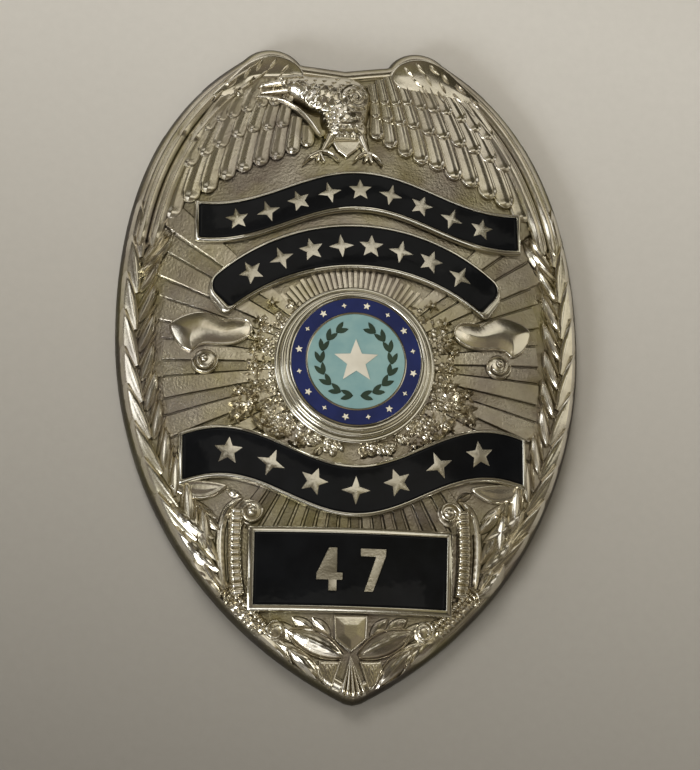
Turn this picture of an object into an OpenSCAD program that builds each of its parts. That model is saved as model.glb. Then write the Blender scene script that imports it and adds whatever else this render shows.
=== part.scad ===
// Police badge: a struck, domed metal shield with an eagle, rays and leaf borders in relief.
// Three enamelled ribbons, a number panel and a round seal are applied to its front.
// The badge lies on its back: +Z points out of its face, +Y to the eagle, and Z = 0 is the back rim.

/* [Shield] */
// Half the width of the shield at its widest place
half_width = 26.1; // [24:0.1:28]
// Height of the widest place above the origin
widest_y = 3.5; // [2:0.1:5]
// Level of the wings' meeting place at the top
notch_y = 35.3; // [34:0.1:36]
// Level of the pointed foot
foot_y = -37.65; // [-39:0.05:-36]
// Sideways place of the round shoulder of a wing
shoulder_x = 8.4; // [7:0.1:9]
// Level of the middle of the round shoulder
shoulder_y = 33.7; // [33:0.05:34.5]
// Radius of the round shoulder
shoulder_r = 3.95; // [3:0.05:5]

/* [Dome] */
// Height of the ground in the middle of the shield
dome_height = 5.8; // [5:0.1:7]
// Radius of the dome across the shield
across_radius = 84; // [75:1:100]
// Radius of the dome along the shield
along_radius = 176; // [150:1:220]
// Thickness of the struck sheet
sheet = 1.9; // [1.5:0.1:2.2]

/* [Rim] */
// Width of the polished bevel
bevel_w = 1.3; // [0.8:0.1:2]
// Height of the bevel's crest above the ground
crest_h = 0.35; // [0.1:0.05:0.6]
// Drop of the bevel's outer edge below the ground
bevel_drop = 0.9; // [0.4:0.1:1.2]

/* [Rays] */
// Rays in a whole turn, plain ones only
ray_count = 30; // [24:1:36]
// Share of a turn step that a plain ray fills
ray_share = 0.6; // [0.4:0.05:0.7]
// Height of a plain ray above the ground
ray_h = 0.3; // [0.1:0.05:0.5]
// Sideways reach of the rays
ray_reach = 21.2; // [20:0.1:22]

/* [Leaf borders] */
// Pairs of leaves on one side
leaf_pairs = 10; // [10:1:16]
// Length of an inner leaf
leaf_len = 4.6; // [3:0.1:6]
// Width of a leaf
leaf_w = 1.5; // [1:0.1:2]
// Height of a leaf's ridge
leaf_h = 0.6; // [0.3:0.05:0.9]

/* [Ribbons] */
// Width of a ribbon's raised edge
edge_w = 0.5; // [0.3:0.05:0.7]
// Height of a ribbon's edge above the ground
panel_h = 1.2; // [0.9:0.05:1.6]
// Depth of the enamel below the edge
enamel_drop = 0.08; // [0.05:0.01:0.15]
// Depth of the tray that holds the enamel
tray_depth = 0.5; // [0.3:0.05:0.7]
// Steps along a ribbon
ribbon_steps = 16; // [12:2:32]
// Clearance between an applied piece and what holds it
gap = 0.04; // [0.02:0.01:0.08]

/* [Number panel] */
// Length of the number panel
number_w = 22.7; // [20:0.1:25]
// Height of the number panel
number_d = 9.3; // [8:0.05:10]
// Height of a numeral
digit_h = 4.7; // [4:0.1:6]

/* [Seal] */
// Outer radius of the bezel
bezel_r = 8.95; // [8.5:0.05:9.3]
// Radius of the seal disc
seal_r = 7.4; // [7:0.05:7.6]
// Radius of the raised line between the ring and the middle
line_r = 5.5; // [5:0.05:5.8]
// Height of the seal's raised lines above the back rim
seal_top = 8.0; // [7.6:0.1:8.5]
// Small round ornaments on the ring
ring_dots = 16; // [8:2:24]

/* [Pin] */
// Length of the strip that carries the pin
pin_strip = 33; // [28:1:36]
// Diameter of the pin's wire
pin_d = 1.1; // [0.9:0.1:1.4]

/* [Hidden] */

X = 0;
Y = 1;
Z = 2;

// How far relief reaches below the ground it grows from, and how far it stays inside the outline
under = -0.4;
relief_inset = 0.9;

// Width of the flat back rim, and the least height of the hollow's roof beside it
back_rim = 1.5;
roof_low = 0.4;

// Height above the ground of the seats that the applied panels stand in, and a height past all relief
seat_h = 0.1;
past_relief = 6;

// The seal's middle is the middle of the rays too
seal_y = -0.6;
ray_centre = [0, seal_y];
seal_floor = dome_height - 0.5;
seal_bed = seal_top - 0.5;
seal_enamel_top = seal_top - 0.05;
line_w = 0.16;
dot_r = 0.3;
wreath_inner = 3.4;
wreath_outer = 4.7;
wreath_open = 50;
star_r = 2.6;

// Underside of the pad that the pin's strip lies against
pad_z = 2.95;

number_at = [-0.5, -23.5];
number_turn = -1.1;

round_steps = 80;

// Ribbon rows: shape, middle x, level of the ends, rise of the middle, half period, half length,
// width and turn in degrees. A wave runs flat at both ends, an arc is part of a ring.
upper_row = ["wave", 1.0, 15.95, 4.0, 16.2, 18.5, 4.95, -0.9];
lower_row = ["wave", 0.0, -10.3, -4.5, 15.2, 19.4, 5.95, 0];
middle_row = ["arc", 0.4, 15.95, 10.47, 23.8, 22.4, 17.2, 0];
middle_inner_half = 14.7;

function dome(p) =
    let (belly = across_radius - along_radius + sqrt(pow(along_radius, 2) - pow(p[Y], 2)))
    dome_height - across_radius + sqrt(pow(belly, 2) - pow(p[X], 2));
function on_dome(p, h) = [p[X], p[Y], dome(p) + h];
function lerp(a, b, t) = a + (b - a) * t;
function turn(p, a) = [p[X] * cos(a) - p[Y] * sin(a), p[X] * sin(a) + p[Y] * cos(a)];
function unit(v) = v / norm(v);
function left_of(v) = [-v[Y], v[X]];
function curve(a, b, c, d, t) =
    pow(1 - t, 3) * a + 3 * pow(1 - t, 2) * t * b + 3 * (1 - t) * t * t * c + pow(t, 3) * d;
function flat(list) = [for (part = list) for (item = part) item];
function mirrored(points) = [for (p = points) [-p[X], p[Y]]];
function backwards(points) = [for (i = [len(points) - 1:-1:0]) points[i]];

// The right half of the outline: notch, round shoulder, long upper curve, lower curve to the foot
shoulder_end = [shoulder_x + shoulder_r * sin(45), shoulder_y + shoulder_r * cos(45)];
widest = [half_width, widest_y];
foot_start = [0.9, foot_y + 0.2];
half_outline = concat(
    [for (a = [-60:15:45]) [shoulder_x + shoulder_r * sin(a), shoulder_y + shoulder_r * cos(a)]],
    [for (i = [1:8])
        curve(shoulder_end, shoulder_end + [1.4, -1.4], widest + [0, 26.4], widest, i / 8)],
    [for (i = [1:9])
        curve(widest, widest - [0, 13.6], [0.762 * half_width, -27.8], foot_start, i / 9)]);
outline = concat([[0, notch_y]], half_outline, [[0, foot_y]], backwards(mirrored(half_outline)));
outline_count = len(outline);

function outline_normal(i) =
    let (before = outline[(i + outline_count - 1) % outline_count],
         after = outline[(i + 1) % outline_count])
    unit(left_of(after - before));
function inset_ring(inset, h) =
    [for (i = [0:outline_count - 1]) on_dome(outline[i] - inset * outline_normal(i), h)];
function level_ring(inset, z) =
    [for (i = [0:outline_count - 1])
        let (p = outline[i] - inset * outline_normal(i)) [p[X], p[Y], z]];
function level_outline(inset) =
    [for (i = [0:outline_count - 1]) outline[i] - inset * outline_normal(i)];
function scaled_ring(share, h) =
    [for (p = outline) on_dome([p[X] * share, p[Y] * share], h)];
function roof_ring(inset) = [for (p = inset_ring(inset, -sheet)) [p[X], p[Y], max(p[Z], roof_low)]];

// A closed solid over rings with equal numbers of points, with a point at each end
module skin(rings, start, end) {
    n = len(rings[0]);
    m = len(rings);
    sides = [for (j = [0:m - 2]) for (i = [0:n - 1])
        let (a = j * n + i, b = j * n + (i + 1) % n) each [[a, b + n, b], [a, a + n, b + n]]];
    first = [for (i = [0:n - 1]) [m * n, i, (i + 1) % n]];
    last = [for (i = [0:n - 1]) [m * n + 1, (m - 1) * n + (i + 1) % n, (m - 1) * n + i]];
    polyhedron(points = concat(flat(rings), [start, end]), faces = concat(sides, first, last));
}

function middle_of(ring) =
    [for (k = [X, Y, Z]) let (values = [for (p = ring) p[k]]) (min(values) + max(values)) / 2];

// A leaf with a ridge from root to tip. The bow is how far its middle stands off the straight line
module leaf(root, tip, width, h_low, h_high, bow = 0) {
    along = unit(tip - root);
    side = left_of(along);
    rings = [for (row = [[0.28, 0.9], [0.68, 0.9]])
        let (t = row[0], half = width * row[1] / 2,
             c = lerp(root, tip, t) + side * bow * 4 * t * (1 - t))
        [on_dome(c + side * half, h_low), on_dome(c, h_high), on_dome(c - side * half, h_low),
         on_dome(c, under)]];
    skin(rings, on_dome(root, h_low), on_dome(tip, h_low));
}

// A row of feathers side by side, from the inner one outwards. Tips and roots lie on two curves,
// each feather has a raised shaft, and the seam between two feathers is lower and shorter
module feather_row(count, tips, roots, h) {
    seam_drop = 0.3;
    stations = [for (i = [0:2 * count]) [i / (2 * count), i % 2]];
    rings = [for (s = stations)
        let (root = curve(roots[0], roots[1], roots[2], roots[3], s[0]),
             full_tip = curve(tips[0], tips[1], tips[2], tips[3], s[0]),
             tip = lerp(root, full_tip, s[1] == 1 ? 1 : 0.9), top = s[1] == 1 ? h : h - seam_drop)
        [on_dome(root, under), on_dome(root, top), on_dome(tip, top - 0.1), on_dome(tip, under)]];
    skin(rings, middle_of(rings[0]), middle_of(rings[2 * count]));
}

// A flat strip between two edges given as lists of places
module strip(left, right, h) {
    rings = [for (i = [0:len(left) - 1])
        [on_dome(left[i], under), on_dome(left[i], h), on_dome(right[i], h), on_dome(right[i], under)]];
    skin(rings, middle_of(rings[0]), middle_of(rings[len(rings) - 1]));
}

module both_sides() {
    children();
    mirror([1, 0, 0]) children();
}

module bead(p, h, r) {
    translate(on_dome(p, h)) sphere(r = r, $fn = r > 0.5 ? 8 : 6);
}

module limb(a, b, h_a, h_b, r_a, r_b) {
    hull() {
        bead(a, h_a, r_a);
        bead(b, h_b, r_b);
    }
}

// The domed sheet with its bevelled rim, hollow from behind
module sheet_body() {
    inner_edge = bevel_w + 0.35;
    rings = [scaled_ring(0.35, 0), scaled_ring(0.68, 0), inset_ring(inner_edge + 0.35, 0),
             inset_ring(inner_edge, crest_h), inset_ring(bevel_w, crest_h),
             inset_ring(0.12, -bevel_drop), level_ring(0, 0),
             level_ring(back_rim, 0), roof_ring(back_rim + 0.4), scaled_ring(0.55, -sheet)];
    skin(rings, on_dome([0, 0], 0), on_dome([0, 0], -sheet));
}

module ray(angle, from_r, to_r) {
    half = 180 / ray_count * ray_share;
    reach = [from_r, to_r];
    strip([for (r = reach) ray_centre + r * [cos(angle + half), sin(angle + half)]],
          [for (r = reach) ray_centre + r * [cos(angle - half), sin(angle - half)]], ray_h);
}

module rays() {
    step = 360 / ray_count;
    for (k = [-2:3]) {
        a = (k + 0.5) * step;
        ray(a, 9.3, ray_reach / cos(a));
        ray(180 - a, 9.3, ray_reach / cos(a));
    }
    for (k = [5:9]) ray((k + 0.5) * step, 9.1, 11.6);
    for (k = [-10:-6]) ray((k + 0.5) * step, 16.6, 19);
}

// The stem of a leaf border runs from below the wing tip to the foot
function stem(t) = curve([23.9, 13.2], [23.4, -7.5], [20.6, -20], [8.4, -32.2], t);

module leaf_border() {
    for (i = [0:leaf_pairs - 1]) {
        t = i / (leaf_pairs - 1);
        root = stem(t);
        up = unit(stem(t - 0.02) - stem(t + 0.02));
        size = lerp(1, 0.8, t);
        leaf(root, root + turn(up, lerp(38, 28, t)) * leaf_len * size, leaf_w * size, 0, leaf_h, 0.25);
        leaf(root, root + turn(up, -26) * leaf_len * 0.72 * size, leaf_w * 0.8 * size, 0, leaf_h, -0.2);
    }
}

// Feather rows from the longest to the shoulder: number, curve of the tips, curve of the roots, height
feather_rows = [
    [9, [[5.2, 26.4], [10.5, 22.6], [16.5, 21.6], [24.6, 14.2]],
        [[5.0, 30.0], [9, 31.4], [13.5, 31.8], [18.6, 29.4]], 0.8],
    [8, [[5.2, 29.8], [9.5, 29.6], [14.5, 28.6], [20.2, 23.8]],
        [[5.0, 33.0], [8, 33.6], [12, 33.8], [16.2, 31.8]], 1.15],
    [6, [[6.2, 32.4], [9.5, 32.2], [13.5, 31.6], [17.8, 28.6]],
        [[5.8, 34.8], [8, 35.6], [11, 35.6], [14.2, 33.8]], 1.45],
    [4, [[6.8, 34.4], [9, 34.8], [12, 34.2], [15.2, 31.8]],
        [[6.4, 36.2], [8, 36.9], [10, 36.9], [12.4, 35.2]], 1.6]];

module wing() {
    for (row = feather_rows) feather_row(row[0], row[1], row[2], row[3]);
}

module eagle() {
    breast = [-0.5, 29.8];
    hull() {
        bead(breast + [0, -1.4], 0.3, 2.2);
        bead(breast + [0.3, 2.2], 0.2, 2.6);
        bead(breast + [2.2, 1.2], 0.3, 1.6);
    }
    limb([-2, 32.3], [-6.4, 33.0], 0.9, 1.2, 1.7, 1.3);
    limb([-6.6, 33.0], [-8.4, 32.6], 1.4, 1.3, 1.2, 0.7);
    limb([-8.2, 32.6], [-9.8, 31.8], 1.3, 0.9, 0.6, 0.25);
    limb([2, 31], [5.6, 31.6], 0.8, 0.8, 1.5, 1.1);
    limb([-3, 31], [-5.4, 30.2], 0.7, 0.6, 1.3, 1.1);
    legs = [[-1.9, 26.8], [1.2, 26.8]];
    ankles = [[-3.0, 24.9], [2.0, 24.8]];
    toes = [[[-5.2, 23.3], [-3.4, 23.4], [-1.5, 23.8]], [[0.6, 23.6], [2.1, 23.2], [3.5, 23.4]]];
    for (i = [0, 1]) {
        limb(legs[i], ankles[i], 0.7, 0.5, 0.7, 0.45);
        for (toe = toes[i]) limb(ankles[i], toe, 0.45, 0.2, 0.42, 0.25);
    }
    strip([[1.6, 26.4], [0.7, 24.2]], [[-2.1, 26.4], [-1.5, 24.2]], 0.5);
}

// The tail of the middle ribbon turns back under it and ends in a small curl
module ribbon_tail() {
    strip([[10.8, 4.6], [14.2, 5.0], [17.2, 5.8], [20.6, 5.2]],
          [[11.2, 2.9], [14.0, 2.2], [17.4, 2.0], [21.6, 2.4]], 0.75);
    curl([16.6, 0.5], 1.45, 0.35);
}

// A spiral scroll: a low ridge wound round its middle
module curl(middle, r, thick) {
    turns = [for (k = [0:7]) [r * (1 - k * 0.09), k * 55]];
    rings = [for (row = turns)
        let (out = [cos(row[1]), sin(row[1])])
        [on_dome(middle + (row[0] - thick) * out, 0), on_dome(middle + row[0] * out, 0.75),
         on_dome(middle + (row[0] + thick) * out, 0), on_dome(middle + row[0] * out, under)]];
    skin(rings, on_dome(middle + r * [1, -0.1], 0.2), on_dome(middle, 0.2));
}

module side_scroll() {
    curl([11.9, -17.0], 1.2, 0.4);
    strip([[14.2, -18.4], [14.3, -21.5], [14.1, -24.4]],
          [[12.6, -18.6], [12.4, -21.5], [12.3, -24.4]], 0.7);
    for (i = [0:2]) leaf([11.8, -25.3 - i * 1.2], [14.4 - i * 0.4, -24.6 - i * 1.2], 1.1, 0, 0.65);
    curl([8.0, -30.0], 1.1, 0.35);
}

module foot_leaves() {
    leaf([1.3, -32.4], [6.2, -30.2], 1.9, 0.2, 0.7);
    leaf([2.8, -35.6], [6.9, -32.2], 1.7, 0.2, 0.65);
    leaf([6.0, -33.4], [9.6, -31.0], 1.3, 0.2, 0.6);
}

module foot_fan() {
    strip([[1.9, -28.4], [1.9, -31.0], [0.2, -32.6]], [[-1.9, -28.4], [-1.9, -31.0], [-0.2, -32.6]], 0.55);
    strip([[0.2, -32.7], [1.9, -36.0]], [[-0.2, -32.7], [-1.9, -36.0]], 0.6);
}

module wreath() {
    for (side = [0, 1]) mirror([side, 0, 0]) for (k = [0:3]) {
        a = -44 + k * 22;
        base = ray_centre + 10.4 * [cos(a), sin(a)];
        heading = [-sin(a), cos(a)];
        leaf(base, base + turn(heading, 24) * 2.1, 1.3, 0, 0.7);
        leaf(base, base + turn(heading, -34) * 2.3, 1.4, 0, 0.75);
    }
}

// Edge of a ribbon: which is -1 for the lower edge and 1 for the upper one, t runs from -1 to 1,
// and inset moves both ends and the edge inwards
function wave_edge(row, which, t, inset) =
    let (x = t * (row[5] - inset),
         level = row[2] + row[3] * (1 + cos(180 * x / row[4])) / 2)
    [row[1], level] + turn([x, which * (row[6] / 2 - inset)], row[7]);
function arc_level(top, r, x) = top - r + sqrt(r * r - x * x);
function arc_edge(row, which, t, inset) =
    let (outer = which > 0, half = outer ? row[6] : middle_inner_half,
         x = t * (half - inset * 1.2))
    [row[1] + x, arc_level(outer ? row[2] - inset : row[3] + inset, outer ? row[4] : row[5], x)];
function edge(row, which, t, inset) =
    row[0] == "wave" ? wave_edge(row, which, t, inset) : arc_edge(row, which, t, inset);

function band_ring(row, t, inset, h_low, h_high) =
    let (a = edge(row, -1, t, inset), b = edge(row, 1, t, inset))
    [on_dome(b, h_low), on_dome(b, h_high), on_dome(a, h_high), on_dome(a, h_low)];

// A solid band over the ribbon's outline
module band(row, inset, h_low, h_high) {
    rings = [for (i = [0:ribbon_steps])
        band_ring(row, 2 * i / ribbon_steps - 1, inset, h_low, h_high)];
    skin(rings, middle_of(rings[0]), middle_of(rings[ribbon_steps]));
}

module star_post(p, r, h_low, h_high, grow = 0) {
    ring = [for (i = [0:9])
        p + ((i % 2 == 0 ? r : r * 0.45) + grow) * [-sin(i * 36), cos(i * 36)]];
    skin([[for (q = ring) on_dome(q, h_low)], [for (q = ring) on_dome(q, h_high)]],
         on_dome(p, h_low), on_dome(p, h_high));
}

module lozenge_post(p, r, h_low, h_high, grow = 0) {
    ring = [for (i = [0:3]) p + ((i % 2 == 0 ? r : r * 0.55) + grow) * [-sin(i * 90), cos(i * 90)]];
    skin([[for (q = ring) on_dome(q, h_low)], [for (q = ring) on_dome(q, h_high)]],
         on_dome(p, h_low), on_dome(p, h_high));
}

// Stars and lozenges in turn along a ribbon
module ornaments(row, count, size, h_low, h_high, grow = 0) {
    for (i = [0:count - 1]) {
        t = (2 * (i + 0.5) / count - 1) * 0.84;
        p = (edge(row, -1, t, 0) + edge(row, 1, t, 0)) / 2;
        if (i % 2 == 0) star_post(p, size, h_low, h_high, grow);
        else lozenge_post(p, size, h_low, h_high, grow);
    }
}

module ribbon(row, count, size) {
    floor_h = panel_h - tray_depth;
    difference() {
        band(row, 0, seat_h + gap, panel_h);
        band(row, edge_w, floor_h, panel_h + 1);
    }
    ornaments(row, count, size, floor_h - 0.1, panel_h - 0.02);
}

module ribbon_enamel(row, count, size) {
    floor_h = panel_h - tray_depth + gap;
    difference() {
        band(row, edge_w + gap, floor_h, panel_h - enamel_drop);
        ornaments(row, count, size, floor_h - 0.1, panel_h + 1, gap);
    }
}

// A block over the number panel's outline, bent with the dome
module number_block(inset, h_low, h_high) {
    xs = [for (i = [0:8]) (i / 4 - 1) * (number_w / 2 - inset)];
    half = number_d / 2 - inset;
    rings = [for (x = xs)
        let (a = number_at + turn([x, -half], number_turn), b = number_at + turn([x, half], number_turn))
        [on_dome(b, h_low), on_dome(b, h_high), on_dome(a, h_high), on_dome(a, h_low)]];
    skin(rings, middle_of(rings[0]), middle_of(rings[8]));
}

// Two plain numerals made of straight strokes, in units of half their height
four = [[0.35, -1], [0.35, -0.5], [0.62, -0.5], [0.62, -0.15], [0.35, -0.15], [0.35, 1], [-0.05, 1],
        [-0.62, -0.2], [-0.62, -0.5], [-0.05, -0.5], [-0.05, -1]];
seven = [[-0.6, 1], [-0.6, 0.62], [0.12, 0.62], [-0.42, -1], [0.02, -1], [0.6, 0.66], [0.6, 1]];

module numerals(h_low, h_high, grow = 0) {
    numeral(four, [-2.4, 0], h_low, h_high, grow);
    numeral(seven, [2.4, 0], h_low, h_high, grow);
}

module numeral(shape, at, h_low, h_high, grow) {
    size = digit_h / 2;
    middle = number_at + turn(at, number_turn);
    translate([middle[X], middle[Y], dome(middle) + h_low]) rotate([0, 0, number_turn])
        linear_extrude(h_high - h_low) offset(delta = grow) polygon(shape * size);
}

// All that stands up from the ground of the shield
module relief() {
    rays();
    both_sides() {
        leaf_border();
        wing();
        ribbon_tail();
        side_scroll();
        foot_leaves();
    }
    foot_fan();
    wreath();
    eagle();
}

module shield() {
    color("silver") difference() {
        union() {
            sheet_body();
            intersection() {
                relief();
                linear_extrude(seal_top + past_relief) polygon(level_outline(relief_inset));
            }
            translate([-2.6, -pin_strip / 2 - 1, pad_z]) cube([5.2, pin_strip + 2, 1.2]);
        }
        for (row = [upper_row, middle_row, lower_row]) band(row, -gap, seat_h, past_relief);
        number_block(-gap, seat_h, past_relief);
        translate([0, seal_y, seal_floor - gap])
            cylinder(r = bezel_r + gap, h = past_relief, $fn = round_steps);
    }
}

module upper_ribbon() {
    color("silver") ribbon(upper_row, 9, 1.35);
}

module upper_enamel() {
    color([0.07, 0.07, 0.08]) ribbon_enamel(upper_row, 9, 1.35);
}

module middle_ribbon() {
    color("silver") ribbon(middle_row, 8, 1.4);
}

module middle_enamel() {
    color([0.07, 0.07, 0.08]) ribbon_enamel(middle_row, 8, 1.4);
}

module lower_ribbon() {
    color("silver") ribbon(lower_row, 7, 1.6);
}

module lower_enamel() {
    color([0.07, 0.07, 0.08]) ribbon_enamel(lower_row, 7, 1.6);
}

module number_panel() {
    floor_h = panel_h - tray_depth;
    color("silver") {
        difference() {
            number_block(0, seat_h + gap, panel_h);
            number_block(edge_w, floor_h, panel_h + 1);
        }
        numerals(floor_h - 0.25, panel_h);
    }
}

module number_enamel() {
    color([0.07, 0.07, 0.08]) difference() {
        number_block(edge_w + gap, panel_h - tray_depth + gap, panel_h - enamel_drop);
        numerals(-1, panel_h + 1, gap);
    }
}

// A stepped ring that rises from the shield to the seal
module seal_bezel() {
    inner = seal_r + gap;
    color("silver") translate([0, seal_y, 0]) rotate_extrude($fn = round_steps)
        polygon([[inner, seal_floor], [bezel_r, seal_floor], [bezel_r, 6.3], [bezel_r - 0.25, 6.6],
                 [bezel_r - 0.5, 6.45], [bezel_r - 0.6, 6.95], [bezel_r - 0.95, 7.05],
                 [bezel_r - 1.05, 7.5], [inner + 0.2, seal_top + 0.05], [inner, seal_top - 0.1]]);
}

module ring_dot_posts(r, z_low, z_high) {
    for (i = [0:ring_dots - 1]) {
        a = (i + 0.5) * 360 / ring_dots;
        translate([(line_r + seal_r) / 2 * cos(a), (line_r + seal_r) / 2 * sin(a), z_low])
            cylinder(r = r, h = z_high - z_low, $fn = 24);
    }
}

module seal_disc() {
    color("silver") translate([0, seal_y, 0]) {
        difference() {
            translate([0, 0, seal_floor])
                cylinder(r = seal_r, h = seal_top - seal_floor, $fn = round_steps);
            translate([0, 0, seal_bed]) difference() {
                cylinder(r = seal_r - line_w, h = 2, $fn = round_steps);
                cylinder(r = line_r + line_w / 2, h = 2, $fn = round_steps);
            }
            translate([0, 0, seal_bed]) cylinder(r = line_r - line_w / 2, h = 2, $fn = round_steps);
        }
        ring_dot_posts(dot_r, seal_bed - 0.1, seal_top);
    }
}

module enamel_ring(inner_r, outer_r) {
    translate([0, seal_y, seal_bed + gap]) difference() {
        cylinder(r = outer_r, h = seal_enamel_top - seal_bed - gap, $fn = round_steps);
        translate([0, 0, -1]) cylinder(r = inner_r, h = 3, $fn = round_steps);
    }
}

module seal_ring_enamel() {
    color([0.11, 0.14, 0.41]) difference() {
        enamel_ring(line_r + line_w / 2 + gap, seal_r - line_w - gap);
        translate([0, seal_y, 0]) ring_dot_posts(dot_r + gap, seal_bed - 1, seal_top + 1);
    }
}

// The shape of the wreath, a ring open at its top. The enamel stands inside a hole grown by grow
module wreath_shape(grow) {
    difference() {
        circle(r = wreath_outer + grow, $fn = round_steps);
        circle(r = wreath_inner - grow, $fn = round_steps);
        translate([0, grow / sin(wreath_open / 2)])
            polygon([[0, 0], [-8 * tan(wreath_open / 2), 8], [8 * tan(wreath_open / 2), 8]]);
    }
}

module star_shape(grow) {
    polygon([for (i = [0:9])
        ((i % 2 == 0 ? star_r : star_r * 0.42) + grow) * [sin(i * 36), cos(i * 36)]]);
}

// An enamel of the seal's middle over a flat shape
module enamel_over() {
    translate([0, seal_y, seal_bed + gap]) linear_extrude(seal_enamel_top - seal_bed - gap) children();
}

module seal_field_enamel() {
    color([0.53, 0.7, 0.7]) enamel_over() difference() {
        circle(r = line_r - line_w / 2 - gap, $fn = round_steps);
        wreath_shape(gap / 2);
        star_shape(gap / 2);
    }
}

module seal_wreath_enamel() {
    color([0.15, 0.19, 0.16]) enamel_over() wreath_shape(-gap / 2);
}

module seal_star_enamel() {
    color("ivory") enamel_over() star_shape(-gap / 2);
}

// Strip, hinge block, catch block and wire of the fastening, made as one plain piece
module pin_back() {
    strip_z = pad_z - gap - 0.7;
    wire_z = 1.15;
    block_y = pin_strip / 2 - 3;
    color("gray") {
        translate([-2.1, -pin_strip / 2, strip_z]) cube([4.2, pin_strip, 0.7]);
        translate([-1.7, block_y - 1.3, 0.4]) cube([3.4, 2.6, strip_z - 0.3]);
        translate([-2.1, block_y, wire_z]) rotate([0, 90, 0]) cylinder(d = 1.5, h = 4.2, $fn = 32);
        translate([-1.5, -block_y - 1.2, 0.4]) cube([3.0, 2.4, strip_z - 0.3]);
        translate([0, -block_y - 2.6, wire_z]) rotate([-90, 0, 0])
            cylinder(d = pin_d, h = 2 * block_y + 2.6, $fn = 32);
    }
}

shield();
upper_ribbon();
upper_enamel();
middle_ribbon();
middle_enamel();
lower_ribbon();
lower_enamel();
number_panel();
number_enamel();
seal_bezel();
seal_disc();
seal_ring_enamel();
seal_field_enamel();
seal_wreath_enamel();
seal_star_enamel();
pin_back();
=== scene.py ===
import math

import bpy
import bmesh
import numpy as np
from mathutils import Matrix, Vector
from mathutils.geometry import tessellate_polygon


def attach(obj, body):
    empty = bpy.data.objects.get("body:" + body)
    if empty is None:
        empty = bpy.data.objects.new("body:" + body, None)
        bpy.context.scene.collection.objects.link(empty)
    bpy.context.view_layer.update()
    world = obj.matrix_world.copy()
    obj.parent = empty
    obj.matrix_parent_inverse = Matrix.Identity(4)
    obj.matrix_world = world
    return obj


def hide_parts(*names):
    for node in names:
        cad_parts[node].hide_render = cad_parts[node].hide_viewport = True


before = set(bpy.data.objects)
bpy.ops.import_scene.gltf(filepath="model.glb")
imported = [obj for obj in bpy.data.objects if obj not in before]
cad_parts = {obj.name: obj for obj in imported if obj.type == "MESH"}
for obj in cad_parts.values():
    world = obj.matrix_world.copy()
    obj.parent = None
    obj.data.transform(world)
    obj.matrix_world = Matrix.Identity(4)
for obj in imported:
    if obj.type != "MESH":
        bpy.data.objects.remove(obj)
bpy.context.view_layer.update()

# All lengths below are in millimetres of the CAD frame. Pieces turn them into metres at the end
MM = 0.001

# The dome that everything lies on, the sheet, and how deep the relief reaches into it
DOME = 5.8
ACROSS = 84.0
ALONG = 176.0
SHEET = 1.9
UNDER = -0.35

# Seal
SEAL = np.array([0.0, -0.6])
BEZEL_R = 8.95
SEAL_R = 7.4
LINE_R = 5.5
SEAL_TOP = 8.0
SEAL_FLOOR = DOME - 0.5
SEAL_BED = SEAL_TOP - 0.5
SEAL_SINK = 0.05

# Ribbons: middle x, level of the ends, rise of the middle, half period, half length, width, turn
UPPER = ("wave", 1.0, 15.95, 4.0, 16.2, 18.5, 4.95, -0.9)
LOWER = ("wave", 0.0, -10.3, -4.5, 15.2, 19.4, 5.95, 0.0)
# The arched one: middle x, tops of its outer and inner edge, their radii, half length of the outer, turn
MIDDLE = ("arc", 0.4, 15.95, 10.47, 23.8, 22.4, 17.2, 0.0)
MIDDLE_INNER_HALF = 14.7
EDGE_W = 0.5
PANEL_H = 1.2
ENAMEL_H = 1.12
TRAY_H = 0.7
SEAM = 0.03

NUMBER_W = 22.7
NUMBER_D = 9.3
NUMBER_AT = np.array([-0.5, -23.5])
NUMBER_TURN = math.radians(-1.1)
DIGIT_H = 4.7
FRAME_EXTRA = 0.25

rng = np.random.default_rng(11)


# Paths and directions


def toward(angle):
    """Unit vectors at angles in radians."""
    return np.stack([np.cos(angle), np.sin(angle)], axis=-1)


def left_of(v):
    return np.stack([-v[..., 1], v[..., 0]], axis=-1)


def length_of(v):
    return np.linalg.norm(v, axis=-1, keepdims=True)


def circle(count):
    return toward(np.linspace(0, 2 * np.pi, count, endpoint=False))


def arc(middle, r, first_deg, last_deg, count):
    return middle + r * toward(np.radians(np.linspace(first_deg, last_deg, count)))


def turned(p, angle):
    return p[..., :1] * toward(angle) + p[..., 1:] * left_of(toward(angle))


def polar(r, degrees):
    """Places round the middle of the seal."""
    return SEAL + np.asarray(r)[..., None] * toward(np.radians(degrees))


def bezier(a, b, c, d, t):
    a, b, c, d = (np.asarray(p, float) for p in (a, b, c, d))
    t = np.asarray(t, float)[..., None]
    return (1 - t) ** 3 * a + 3 * (1 - t) ** 2 * t * b + 3 * (1 - t) * t * t * c + t**3 * d


def bowed(root, tip, bow, t):
    """A path from root to tip that bows to its left."""
    root, d = np.asarray(root, float), np.subtract(tip, root)
    return root + d * t[:, None] + left_of(d / length_of(d)) * (bow * 4 * t * (1 - t))[:, None]


def resampled(points, count, closed=False):
    """The same path with evenly spaced points."""
    points = np.asarray(points, float)
    if closed:
        points = np.vstack([points, points[:1]])
    run = np.concatenate([[0], np.cumsum(length_of(np.diff(points, axis=0)))])
    at = np.linspace(0, run[-1], count + 1)[:-1] if closed else np.linspace(0, run[-1], count)
    return np.stack([np.interp(at, run, column) for column in points.T], axis=-1)


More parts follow.
